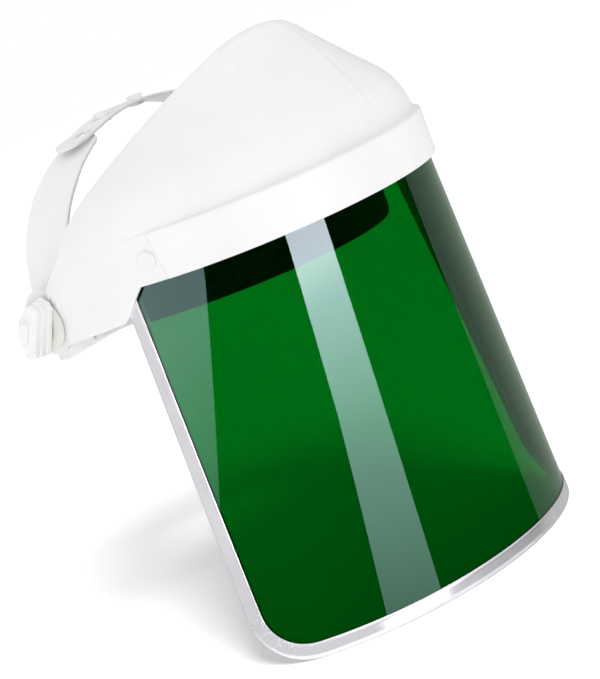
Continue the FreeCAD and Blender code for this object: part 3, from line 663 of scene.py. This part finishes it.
def binding_section():
    """Channel section round the edge: (distance in from the edge, offset outwards)."""
    out = VISOR_THICK / 2 + BINDING_WALL
    core = VISOR_THICK / 2 + 0.05
    face = BINDING_FACE
    tip = face - 0.25
    half = [(-0.93, 0.5), (-0.72, 0.95), (-0.35, 1.3), (0.1, out), (1.6, out), (3.2, out),
            (4.8, out), (tip, out), (face, out - 0.3), (face, core + 0.1), (tip, core),
            (3.2, core), (0.2, core)]
    return [(-1.0, 0.0)] + half + [(0.0, 0.0)] + [(a, -b) for a, b in half[::-1]]


def binding_ring(step, side, index):
    theta, y, z, in_y, in_z, fold = step
    points = []
    for a, b in binding_section():
        pz = z + in_z * a
        t = theta if theta is not None else visor_theta(y + in_y * a, pz)
        eps = 1e-3
        mid = visor_point(t, pz, VISOR_THICK / 2)
        ahead = visor_point(t + eps, pz, VISOR_THICK / 2) - mid
        above = visor_point(t, pz + eps, VISOR_THICK / 2) - mid
        normal = np.cross(above, ahead)
        normal /= np.linalg.norm(normal)
        if normal @ (mid - np.array([0, -50, pz])) < 0:
            normal = -normal
        pleat = 0.0
        if fold and abs(b) > VISOR_THICK / 2 + 0.2:
            pleat = fold * 0.08 * math.sin(index * 1.26) * smoothstep(a, 0.0, 5.0)
        wave = 0.03 * math.sin(index * 0.37) + 0.02 * math.sin(index * 0.83 + 1.3)
        push = (pleat + wave * smoothstep(a, -1.0, 3.0)) if abs(b) > 1.2 else 0.0
        p = mid + normal * (b + math.copysign(1.0, b or 1.0) * push)
        points.append([p[0] if side < 0 else -p[0], p[1], p[2]])
    return points


def build_binding():
    path = binding_path()
    rings = [binding_ring(s, RIGHT, i) for i, s in enumerate(path)]
    rings += [binding_ring(s, LEFT, i) for i, s in list(enumerate(path))[-2::-1]]
    verts = np.array(rings)
    rows, cols = verts.shape[:2]
    faces = loft_faces(rows, cols)
    obj = make_object("edge_binding_strip", verts.reshape(-1, 3), faces, bright_strip)
    cap_strip_ends(obj, rows, cols)
    tidy_normals(obj)
    return settle(obj, "face_guard", "binding_metal", "edge_binding")


def cap_strip_ends(obj, rows, cols):
    """Close the two ends of the channel with faces across its wall."""
    work = bmesh.new()
    work.from_mesh(obj.data)
    work.verts.ensure_lookup_table()
    pairs = [(9, 10), (8, 11), (6, 12), (4, 13), (0, 14), (24, 15), (22, 16), (20, 17), (19, 18)]
    for start in (0, (rows - 1) * cols):
        for (a, b), (c, d) in zip(pairs, pairs[1:]):
            ring = [a]
            while ring[-1] != c:
                ring.append((ring[-1] - 1) % cols)
            ring += [d, b]
            unique = list(dict.fromkeys(ring))
            if len(unique) > 2:
                work.faces.new([work.verts[start + i] for i in unique])
    work.to_mesh(obj.data)
    work.free()


STUD_Y, STUD_Z = -85.5, 18.5


def stud_place(side):
    """Point on the panel at a visor stud and the outward normal."""
    ahead = STUD_Y - SHELL_CENTRE_Y
    x = PANEL_PLAN[0] * math.sqrt(1 - (ahead / PANEL_PLAN[1]) ** 2)
    normal = Vector((side * x / PANEL_PLAN[0] ** 2, ahead / PANEL_PLAN[1] ** 2, 0)).normalized()
    return Vector((side * x, STUD_Y, STUD_Z)), normal


def build_studs():
    for side, word in SIDE_NAMES.items():
        point, normal = stud_place(side)
        head = [(-8.8, 1.6), (-8.8, 2.0), (-8.4, 2.3), (0.1, 2.3), (0.1, 4.0), (0.2, 4.2), (0.6, 4.2),
                (0.88, 4.05), (1.04, 3.7), (1.1, 3.2), (0.98, 2.9), (0.9, 2.4), (0.92, 1.2),
                (0.94, 0.3)]
        stud = lathe("visor_stud_%s_press" % word, head, point, normal, shell_white, 64)
        settle(stud, "face_guard", "shell_white", "visor_stud_" + word)
        plate = [(-6.9, 2.45), (-6.9, 5.2), (-6.75, 5.45), (-6.2, 5.5), (-5.8, 5.3), (-5.7, 4.9),
                 (-5.85, 4.0), (-5.75, 2.9), (-5.9, 2.45), (-6.9, 2.45)]
        clip = lathe("stud_clip_%s_spring" % word, plate, point, normal, steel, 64,
                     ripple=lambda t, h, r: 0.35 * math.cos(6 * t) if r > 4.5 else 0.0)
        settle(clip, "face_guard", "metal_bolt", "stud_clip_" + word)


# ---- headgear

RING_CENTRE_Y = -18.0
RING_HALF = (82.0, 98.0)
RING_WALL = 2.0
BAND_END_Y = 49.6
BAND_LOW = np.array([(-125, -10), (-60, -11), (-33, -13), (19, -24), (50, -27)], float)
BAND_HIGH = np.array([(-125, 28), (-70, 26), (-34, 17), (14, 15), (27, 4), (50, -5)], float)


def ring_point(phi, outset, z):
    """Point on the headband's oval; phi 0 is the rear, growing towards the right."""
    a, b = RING_HALF[0] + outset, RING_HALF[1] + outset
    return [-a * math.sin(phi), RING_CENTRE_Y + b * math.cos(phi), z]


def ring_phi(y, outset=0.0):
    return math.acos((y - RING_CENTRE_Y) / (RING_HALF[1] + outset))


def soft_interp(y, table, span=2.5):
    """Linear outline with its corners rounded by averaging over a short span."""
    ys = y + np.linspace(-span, span, 9)
    return float(np.interp(ys, table[:, 0], table[:, 1]).mean())


def build_headband():
    end = ring_phi(BAND_END_Y)
    phis = np.linspace(end, 2 * math.pi - end, 221)
    shares = [0, 0.015, 0.04, 0.06, 0.1, 0.2, 0.3, 0.4, 0.5, 0.6, 0.7, 0.8, 0.9, 0.94, 0.96,
              0.985, 1]
    bead = [0.5, 0.5, 0.45, 0.1, 0, 0, 0, 0, 0, 0, 0, 0, 0, 0.1, 0.45, 0.5, 0.5]
    columns = []
    for phi in phis:
        y = ring_point(phi, 0, 0)[1]
        low, high = soft_interp(y, BAND_LOW) + 0.3, soft_interp(y, BAND_HIGH) - 0.3
        near_ear = 1 - float(smoothstep(abs(y), 17, 22))
        column = []
        for share, rise in zip(shares, bead):
            z = low + (high - low) * share
            outset = rise * (1 - near_ear) - 0.35
            column.append((ring_point(phi, outset, z), ring_point(phi, -RING_WALL, z)))
        columns.append(column)
    obj = shell("headband_ring", columns, 0.35, headgear_white)
    return settle(obj, "headgear", "headgear_white", "headband")


SWEAT_END_Y = -51.0
SWEAT_LOW = np.array([(-125, -13), (SWEAT_END_Y, -14)], float)
SWEAT_HIGH = np.array([(-125, 31), (-70, 29), (SWEAT_END_Y, 24.5)], float)


def sweatband_span(phi):
    """Lowest and highest point of the sweatband at a place on the oval."""
    y = ring_point(phi, 0, 0)[1]
    return soft_interp(y, SWEAT_LOW, 1.0) + 1.2, soft_interp(y, SWEAT_HIGH, 1.0) - 1.2


def build_sweatband():
    """Padded sleeve: full where the foam is, pulled in at its stitched borders."""
    end = ring_phi(SWEAT_END_Y - 0.9)
    phis = np.linspace(end, 2 * math.pi - end, 181)
    shares = np.linspace(0, 1, 25)
    columns = []
    for k, phi in enumerate(phis):
        z0, z1 = sweatband_span(phi)
        along = k / (len(phis) - 1)
        ends = float(smoothstep(along, 0, 0.03) * (1 - smoothstep(along, 0.97, 1)))
        quilt = 1 - 0.16 * math.exp(-((((along * 10) % 1) - 0.5) / 0.055) ** 2)
        column = []
        for s in shares:
            full = math.sqrt(max(0.0, 1 - (2 * s - 1) ** 6))
            seam = 1 - 0.30 * math.exp(-((abs(2 * s - 1) - 0.80) / 0.05) ** 2)
            puff = (0.30 + 0.70 * full) * (0.45 + 0.55 * ends)
            z = z0 + (z1 - z0) * s
            column.append((ring_point(phi, 0.15 + 1.05 * puff, z),
                           ring_point(phi, -RING_WALL - 0.3 - 5.2 * puff * seam * quilt, z)))
        columns.append(column)
    obj = shell("sweatband_pad", columns, 0.9, sweat_cover)
    settle(obj, "headgear", "sweatband_cover", "sweatband")
    build_sweatband_stitches(phis)


def build_sweatband_stitches(phis):
    """Thread along both borders of the sweatband."""
    stitches = []
    for share in (0.10, 0.90):
        for k in range(4, 176, 2):
            z0, z1 = sweatband_span((phis[k] + phis[k + 1]) / 2)
            z = z0 + (z1 - z0) * share
            a = Vector(ring_point(phis[k], -RING_WALL - 4.15, z))
            b = Vector(ring_point(phis[k] + (phis[k + 1] - phis[k]) * 1.3, -RING_WALL - 4.15, z))
            stitches.append((a, b))
    seam = stitch_mesh("sweatband_stitching", stitches, 0.32)
    settle(seam, "headgear", "sweatband_cover")


def stitch_mesh(name, segments, radius):
    """Short rounded thread loops lying along a seam."""
    verts, faces = [], []
    for a, b in segments:
        axis = (b - a).normalized()
        side = axis.orthogonal().normalized()
        other = axis.cross(side)
        first = len(verts)
        for t, r in ((0, 0.3), (0.15, 0.8), (0.5, 1.0), (0.85, 0.8), (1, 0.3)):
            for k in range(6):
                w = 2 * math.pi * k / 6
                verts.append(tuple(a + (b - a) * t
                                   + (side * math.cos(w) + other * math.sin(w)) * radius * r))
        faces += loft_faces(5, 6, True, first)
        faces.append(tuple(first + k for k in range(6))[::-1])
        faces.append(tuple(first + 24 + k for k in range(6)))
    return tidy_normals(make_object(name, verts, faces, thread))


CROWN_HALF, CROWN_RISE, CROWN_CENTRE_Z = 84.1, 73.0, 5.0
CROWN_WALL, CROWN_GAP = 1.8, 0.3
FOOT_Z = -14.7
CROWN_FRONT = np.array([(-95, -15), (-60, -15), (-10, -9), (60, -9)], float)
CROWN_REAR = np.array([(-95, 17), (-60, 17), (-10, 11), (60, 11)], float)
SLOT_X = (-32.0, -16.0, -4.0, 8.0)
PEG_X = (-16.0, 8.0)


def crown_station(kind, value, upper):
    """Place, outward direction and height above the arch of one section of the crown strap."""
    if kind == "leg":
        return CROWN_HALF, value, 1.0, 0.0, 0.0
    x = CROWN_HALF * math.cos(value)
    z = CROWN_CENTRE_Z + CROWN_RISE * math.sin(value)
    n = Vector((x / CROWN_HALF ** 2, (z - CROWN_CENTRE_Z) / CROWN_RISE ** 2)).normalized()
    if not upper:
        return x, z, n.x, n.y, 0.0
    step = float(smoothstep(z, 40, 46)) * (CROWN_WALL + CROWN_GAP)
    free = float(smoothstep(-x, 22, 46))
    return x, z, n.x, n.y, step + 3.2 * free ** 2


def build_crown_half(side, word, end_x, upper):
    """One half of the crown strap with edge beads; the upper half steps over the lower."""
    travel = math.pi - math.acos(max(-1.0, min(1.0, side * end_x / CROWN_HALF)))
    stations = [("leg", z) for z in np.linspace(FOOT_Z, CROWN_CENTRE_Z, 14)[:-1]]
    stations += [("arch", a) for a in np.linspace(0, travel, 110)]
    across = [0, 0.02, 0.05, 0.08, 0.14, 0.3, 0.5, 0.7, 0.86, 0.92, 0.95, 0.98, 1]
    bead = [0.0, 0.0, 0.0, -0.3] + [-0.35] * 5 + [-0.3, 0.0, 0.0, 0.0]
    columns = []
    for kind, value in stations:
        x, z, nx, nz, lift = crown_station(kind, value, upper)
        front = float(np.interp(-x, CROWN_FRONT[:, 0], CROWN_FRONT[:, 1]))
        rear = float(np.interp(-x, CROWN_REAR[:, 0], CROWN_REAR[:, 1]))
        end = travel - value if kind == "arch" else 9.0
        round_off = math.sqrt(max(0.0, 1 - (1 - min(1.0, end * CROWN_HALF / 9.0)) ** 2))
        middle, reach = (front + rear) / 2, (rear - front) / 2
        narrowed = reach * (0.35 + 0.65 * round_off)
        column = []
        for share, sink in zip(across, bead):
            y = middle + narrowed * (2 * share - 1)
            top = lift + (sink if z > 20 else 0.0)
            low = lift - CROWN_WALL
            column.append([(side * (x + nx * h), y, z + nz * h) for h in (top, low)])
        columns.append(column)
    name = "crown_strap_%s_%s" % (word, "slotted" if upper else "pegged")
    return shell(name, columns, 0.35, headgear_white)


def rounded_bar(name, centre, half, radius, height, material=None):
    """Upright bar with a rounded-rectangle plan and softened top and bottom."""
    ring = []
    for cx, cy, start in ((1, 1, 0), (-1, 1, 90), (-1, -1, 180), (1, -1, 270)):
        for k in range(7):
            t = math.radians(start + 15 * k)
            ring.append((cx * (half[0] - radius) + radius * math.cos(t),
                         cy * (half[1] - radius) + radius * math.sin(t)))
    soften = min(0.45, height / 4)
    levels = [(0, soften), (soften * 0.3, soften * 0.3), (soften, 0), (height - soften, 0),
              (height - soften * 0.3, soften * 0.3), (height, soften)]
    verts = []
    for z, pull in levels:
        for x, y in ring:
            s = 1 - pull / max(half)
            verts.append((centre[0] + x * s, centre[1] + y * s, centre[2] + z))
    n = len(ring)
    faces = loft_faces(len(levels), n)
    faces.append(tuple(range(n))[::-1])
    faces.append(tuple((len(levels) - 1) * n + k for k in range(n)))
    return tidy_normals(make_object(name, verts, faces, material))


def build_crown_straps():
    lower = build_crown_half(RIGHT, "right", 30.0, False)
    upper = build_crown_half(LEFT, "left", 44.0, True)
    for x in SLOT_X:
        cut(upper, rounded_bar("slot", (x, 1.0, 60), (3.3, 4.5), 2.2, 40))
    pegs = []
    for x in PEG_X:
        top = CROWN_CENTRE_Z + CROWN_RISE * math.sqrt(1 - (x / CROWN_HALF) ** 2)
        pegs.append(rounded_bar("peg", (x, 1.0, top - 1.2), (2.9, 4.1), 1.9, 5.6, headgear_white))
    lower = join("crown_strap_right_pegged", [lower] + pegs)
    settle(lower, "headgear", "headgear_white", "crown_strap_right")
    settle(upper, "headgear", "headgear_white", "crown_strap_left")


# ---- nape unit

NAPE_Z = -15.5
STRAP_HALF, STRAP_WALL = 9.0, 1.8
RACK_HALF_X = 17.0
PINION_ROOM = 4.3 + 0.35
HOUSING_FLOOR, COVER_GAP, COVER_WALL = 0.7, 0.1, 1.8
PAD_HALF, PAD_THICK = (31.4, 14.4), 5.2


def build_nape_strap(side, word):
    """Strap from inside the headband's end back to its rack in the housing."""
    outset = -RING_WALL - 0.3
    start = ring_phi(24.5, outset)
    end = -math.asin(RACK_HALF_X / (RING_HALF[0] + outset))
    wide_until = math.asin(23.5 / (RING_HALF[0] + outset))
    columns = []
    for phi in np.linspace(start, end, 120):
        t = float(smoothstep(phi, wide_until - 0.02, wide_until + 0.01))
        low_rack, high_rack = (-STRAP_HALF, -PINION_ROOM) if side < 0 else (PINION_ROOM, STRAP_HALF)
        low = low_rack + (-STRAP_HALF - low_rack) * t
        high = high_rack + (STRAP_HALF - high_rack) * t
        tongue = math.sqrt(max(0.0, 1 - (1 - min(1.0, (start - phi) * 70 / 6.0)) ** 2))
        low, high = low * (0.5 + 0.5 * tongue), high * (0.5 + 0.5 * tongue)
        column = []
        for share in np.linspace(0, 1, 15):
            z = NAPE_Z + low + 0.25 + (high - low - 0.5) * share
            groove = 0.4 * math.exp(-((share - 0.5) / 0.12) ** 2) * t
            pair = [ring_point(phi, depth, z) for depth in (outset - groove, outset - STRAP_WALL)]
            column.append([(-side * x, y, z) for x, y, z in pair])
        columns.append(column)
    obj = shell("nape_strap_%s_rack" % word, columns, 0.25, headgear_white)
    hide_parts("nape_strap_" + word)
    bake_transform(obj)


def build_nape_unit():
    housing = softened("ratchet_housing_box", "ratchet_housing", 0.45, 6, headgear_white)
    settle(housing, "nape_unit", "headgear_white", "ratchet_housing")
    cover = softened("ratchet_cover_plate", "ratchet_cover", 0.4, 3, headgear_white)
    settle(cover, "nape_unit", "headgear_white", "ratchet_cover")
    build_nape_pad()
    for side, word in SIDE_NAMES.items():
        low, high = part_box("cover_screw_" + word)
        x, z = (low.x + high.x) / 2 / MM, (low.z + high.z) / 2 / MM
        y = low.y / MM
        head = [(9.2, 1.1), (9.0, 1.3), (1.4, 1.35), (1.4, 2.5), (1.0, 2.6), (0.35, 2.45),
                (0.0, 2.0), (0.0, 0.9), (0.7, 0.85), (0.75, 0.2)]
        screw = lathe("cover_screw_%s_pan" % word, head, (x, y, z), (0, 1, 0), steel, 48)
        settle(screw, "nape_unit", "metal_bolt", "cover_screw_" + word)


def build_nape_pad():
    """Cushion with a crowned face, a stitched border and two screw hollows."""
    low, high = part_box("nape_pad")
    outset_rear = -(RING_WALL + STRAP_WALL + HOUSING_FLOOR + COVER_GAP + COVER_WALL) - 0.35
    half_x, half_z = PAD_HALF
    phi_edge = math.asin(half_x / (RING_HALF[0] + outset_rear))
    columns = []
    for u in np.linspace(-1, 1, 97):
        phi = u * phi_edge
        column = []
        for v in np.linspace(-1, 1, 45):
            corner = max(0.0, 1 - (abs(u) ** 6 + abs(v) ** 6)) ** 0.5
            crown = corner * (1 - 0.12 * (u * u + v * v))
            seam_distance = max(abs(u) * half_x - (half_x - 4), abs(v) * half_z - (half_z - 4))
            seam = 0.28 * math.exp(-(seam_distance / 0.8) ** 2)
            channel = 0.22 * math.exp(-((abs(u) - 0.33) * half_x / 1.1) ** 2)
            depth = PAD_THICK * (0.28 + 0.72 * crown) * (1 - seam - channel * corner)
            shrink = 1 - 0.03 * (1 - corner)
            z = NAPE_Z + v * half_z * (1 - 0.04 * u * u) * shrink
            column.append((ring_point(phi * shrink, outset_rear, z),
                           ring_point(phi * shrink, outset_rear - depth, z)))
        columns.append(column)
    obj = shell("nape_pad_cushion", columns, 0.6, nape_cover)
    for side in (RIGHT, LEFT):
        middle = (side * 20.0, (low.y + high.y) / 2 / MM, NAPE_Z)
        hole = lathe("hole", [(-30, 2.9), (30, 2.9)], middle, (0, 1, 0), None, 40)
        cut(obj, hole)
    settle(obj, "nape_unit", "nape_pad_cover", "nape_pad")


def build_ratchet_drive():
    low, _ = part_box("ratchet_knob")
    y = low.y / MM
    profile = [(0.0, 3.6), (0.0, 12.6), (0.35, 13.6), (1.1, 14.4), (2.2, 15.0), (7.4, 14.6),
               (8.4, 14.1), (8.85, 13.3), (9.0, 12.2), (8.9, 10.6), (8.2, 9.9), (7.9, 9.2),
               (7.9, 7.4), (8.3, 6.6), (8.6, 5.2), (8.7, 2.8), (8.7, 0.5)]

    def grips(t, h, r):
        if r < 12.5:
            return 0.0
        fade = smoothstep(h, 0.2, 1.6) * (1 - smoothstep(h, 7.9, 8.9))
        return -1.35 * float(fade) * max(0.0, math.cos(14 * t)) ** 3

    knob = lathe("ratchet_knob_grip", profile, (0, y, NAPE_Z), (0, 1, 0), ratchet_dark, 252, grips)
    settle(knob, "ratchet_drive", "ratchet_dark", "ratchet_knob")
    pinion = softened("ratchet_pinion_gear", "ratchet_pinion", 0.16, 2, ratchet_dark)
    settle(pinion, "ratchet_drive", "ratchet_dark", "ratchet_pinion")


# ---- pivots

BOLT_HEAD_X, BUSH_X, WASHER_X, INSERT_X = 74.2, 84.4, 95.4, 97.2


def bored_ring(name, side, x, length, outline, material, around):
    """Turned ring on the pivot; its outer outline is closed along the bore."""
    profile = [(0.0, PIVOT_BORE)] + outline + [(length, PIVOT_BORE), (0.0, PIVOT_BORE)]
    return lathe(name, profile, (side * x, 0, 0), (side, 0, 0), material, around)


def build_knob(side, word):
    knob = softened("tension_knob_%s_grip" % word, "tension_knob_" + word, 0.26, 5, knob_white)
    settle(knob, "knob_" + word, "knob_white", "tension_knob_" + word)
    tube = [(0.0, 4.0), (0.25, 4.2), (8.8, 4.2), (9.0, 4.0)]
    insert = bored_ring("knob_insert_%s_tube" % word, side, INSERT_X, 9.0, tube, brass, 64)
    settle(insert, "knob_" + word, "metal_brass", "knob_insert_" + word)


def build_pivot(side, word):
    bolt = [(0.0, 2.6), (0.15, 3.2), (0.55, 5.4), (1.0, 7.0), (1.6, 7.8), (2.1, 8.0),
            (2.4, 7.85), (2.4, 3.0), (31.2, 3.0), (31.8, 2.4)]
    pin = lathe("pivot_bolt_%s_dome" % word, bolt, (side * BOLT_HEAD_X, 0, 0), (side, 0, 0), steel, 72)
    settle(pin, "headgear", "metal_bolt", "pivot_bolt_" + word)
    bush = [(0.0, 8.1), (0.4, 8.5), (6.1, 8.5), (6.5, 8.1)]
    spacer = bored_ring("spacer_bush_%s_ring" % word, side, BUSH_X, 6.5, bush, nylon, 72)
    settle(spacer, "headgear", "washer_nylon", "spacer_bush_" + word)
    disc = [(0.0, 12.7), (0.3, 13.0), (1.2, 13.0), (1.5, 12.7)]
    washer = bored_ring("friction_washer_%s_disc" % word, side, WASHER_X, 1.5, disc, nylon, 96)
    settle(washer, "headgear", "washer_nylon", "friction_washer_" + word)


# ---- studio

WORLD_FILL = 0.915


def light_only(source, name, receivers):
    """Limits a light or a glowing panel to the given pieces."""
    chosen = bpy.data.collections.new(name + "_receivers")
    for receiver in receivers:
        chosen.objects.link(receiver)
    source.light_linking.receiver_collection = chosen


def emitter(name, corners, stops, strength, receivers=None):
    """Flat panel seen only in reflections; its glow changes with height by the stops."""
    material = bpy.data.materials.new(name)
    material.use_nodes = True
    tree = material.node_tree
    tree.nodes.clear()
    out = add_node(tree, "OutputMaterial")
    glow = add_node(tree, "Emission", Strength=strength)
    heights = [z for _, _, z in corners]
    low, high = min(heights), max(heights)
    where, split = add_node(tree, "TexCoord"), add_node(tree, "SeparateXYZ")
    tree.links.new(where.outputs["Object"], split.inputs[0])
    share = add_node(tree, "MapRange", From_Min=low * MM, From_Max=high * MM)
    tree.links.new(split.outputs["Z"], share.inputs["Value"])
    placed = [((z - low) / (high - low), colour) for z, colour in stops]
    tree.links.new(ramp(tree, share.outputs["Result"], placed), glow.inputs["Color"])
    tree.links.new(glow.outputs[0], out.inputs["Surface"])
    obj = make_object(name, corners, [tuple(range(len(corners)))], material, smooth=False)
    obj.visible_camera = False
    obj.visible_transmission = False
    obj.visible_shadow = False
    obj.visible_diffuse = False
    if receivers:
        light_only(obj, name, receivers)


def direction_to(turn, lift):
    """Direction in degrees: turn is from -Y towards the wearer's right, lift is upwards."""
    turn, lift = math.radians(turn), math.radians(lift)
    return Vector((-math.sin(turn) * math.cos(lift), -math.cos(turn) * math.cos(lift),
                   math.sin(lift)))


def add_sun(name, strength, turn, lift, spread, receiver=None):
    """Broad soft light from a direction, for all pieces or for one receiver."""
    light = bpy.data.lights.new(name, "SUN")
    light.energy = strength
    light.angle = math.radians(spread)
    obj = bpy.data.objects.new(name, light)
    obj.rotation_euler = direction_to(turn, lift).to_track_quat("Z", "Y").to_euler()
    obj.visible_glossy = False
    bpy.context.scene.collection.objects.link(obj)
    if receiver:
        light_only(obj, name, [receiver])


def build_world():
    world = bpy.data.worlds.new("studio")
    world.use_nodes = True
    bpy.context.scene.world = world
    tree = world.node_tree
    tree.nodes.clear()
    out, rays = add_node(tree, "OutputWorld"), add_node(tree, "LightPath")

    def background(value):
        return add_node(tree, "Background", Color=(value, value, value, 1)).outputs[0]

    def mix(choice, no, yes):
        node = add_node(tree, "MixShader")
        tree.links.new(choice, node.inputs["Fac"])
        tree.links.new(no, node.inputs[1])
        tree.links.new(yes, node.inputs[2])
        return node.outputs[0]

    where, split = add_node(tree, "TexCoord"), add_node(tree, "SeparateXYZ")
    tree.links.new(where.outputs["Generated"], split.inputs[0])
    # Glossy rays meet a dark studio between a bright ceiling and a bright floor.
    height = add_node(tree, "MapRange", From_Min=-1.0, From_Max=1.0)
    tree.links.new(split.outputs["Z"], height.inputs["Value"])
    glow = add_node(tree, "Background")
    studio = [(0.0, 0.9), (0.30, 0.75), (0.34, 0.0), (0.53, 0.0), (0.62, 0.6), (1.0, 1.0)]
    tree.links.new(ramp(tree, height.outputs["Result"], studio), glow.inputs["Color"])
    glossy = mix(rays.outputs["Is Glossy Ray"], background(WORLD_FILL), glow.outputs[0])
    seen = add_node(tree, "Math")
    seen.operation = "MAXIMUM"
    tree.links.new(rays.outputs["Is Camera Ray"], seen.inputs[0])
    tree.links.new(rays.outputs["Is Transmission Ray"], seen.inputs[1])
    tree.links.new(mix(seen.outputs[0], glossy, background(1.0)), out.inputs["Surface"])


def build_studio(visor, binding):
    build_world()
    bpy.context.scene.view_settings.view_transform = "Standard"
    paper, _, shader = new_material("studio_paper")
    set_inputs(shader, Roughness=1.0, Base_Color=(0.36, 0.36, 0.36, 1), Specular_IOR_Level=0.0,
               Emission_Color=(1, 1, 1, 1), Emission_Strength=0.34)
    size, z = 4000.0, VISOR_FOOT - 1.2
    corners = [(-size, -size, z), (size, -size, z), (size, size, z), (-size, size, z)]
    floor = make_object("floor", corners, [(0, 1, 2, 3)], paper, smooth=False)
    floor.visible_glossy = False
    # Narrow strip light whose reflection stands on the front of the visor.
    strip = [(-247, -867, -50), (70, -826, -60), (-24, -567, -370), (-325, -597, -370),
             (-258, -738, -200)]
    glow = [(-320, 0.13), (-210, 0.30), (-128, (0.66, 0.56, 0.63)), (-100, (1.0, 0.78, 0.83)),
            (-80, (1.0, 0.74, 0.8))]
    emitter("strip_light", strip, glow, 20.0)
    # Large panel on the wearer's right, with a slanted near edge; it would blind the bright
    # strip, so that has a soft light of its own from the same side.
    emitter("side_panel", [(-700, -520, 24), (-700, 900, -451), (-700, 900, 250), (-700, -520, 250)],
            [(-170, (0.36, 0.56, 0.44)), (-50, 1.0)], 3.5, [visor])
    # Pale wall on the wearer's left and behind, for the grazing band of the visor.
    emitter("far_wall", [(560, -330, -900), (560, -330, 700), (200, 1100, 700), (200, 1100, -900)],
            [(-900, 1.0), (700, 1.0)], 0.42)
    add_sun("key_light", 0.2, 25.0, 35.0, 25.0)
    # The paper has a light of its own, so that the object's shadow falls behind it.
    add_sun("paper_light", 7.8, 27.0, 40.0, 19.0, floor)
    add_sun("edge_light", 6.5, 80.0, 8.0, 30.0, binding)


CAMERA_TURN, CAMERA_LIFT, CAMERA_ROLL = 42.02, 10.23, 21.28
CAMERA_PLACE = (-731.31, -869.10, 142.14)


def build_camera():
    data = bpy.data.cameras.new("camera")
    data.sensor_width = 36.0
    data.lens = 120.95
    data.clip_start, data.clip_end = 0.05, 50
    camera = bpy.data.objects.new("camera", data)
    back = direction_to(CAMERA_TURN, CAMERA_LIFT)
    turn, roll = math.radians(CAMERA_TURN), math.radians(CAMERA_ROLL)
    right = Vector((math.cos(turn), -math.sin(turn), 0))
    up = back.cross(right)
    x_axis = right * math.cos(roll) - up * math.sin(roll)
    y_axis = right * math.sin(roll) + up * math.cos(roll)
    matrix = Matrix((x_axis, y_axis, back)).transposed().to_4x4()
    matrix.translation = Vector(CAMERA_PLACE) * MM
    camera.matrix_world = matrix
    bpy.context.scene.collection.objects.link(camera)
    bpy.context.scene.camera = camera


# ---- everything

build_browguard()
visor = build_visor()
binding = build_binding()
build_studs()
build_headband()
build_sweatband()
build_crown_straps()
for which, label in SIDE_NAMES.items():
    build_nape_strap(which, label)
build_nape_unit()
build_ratchet_drive()
for which, label in SIDE_NAMES.items():
    build_knob(which, label)
    build_pivot(which, label)
build_studio(visor, binding)
build_camera()
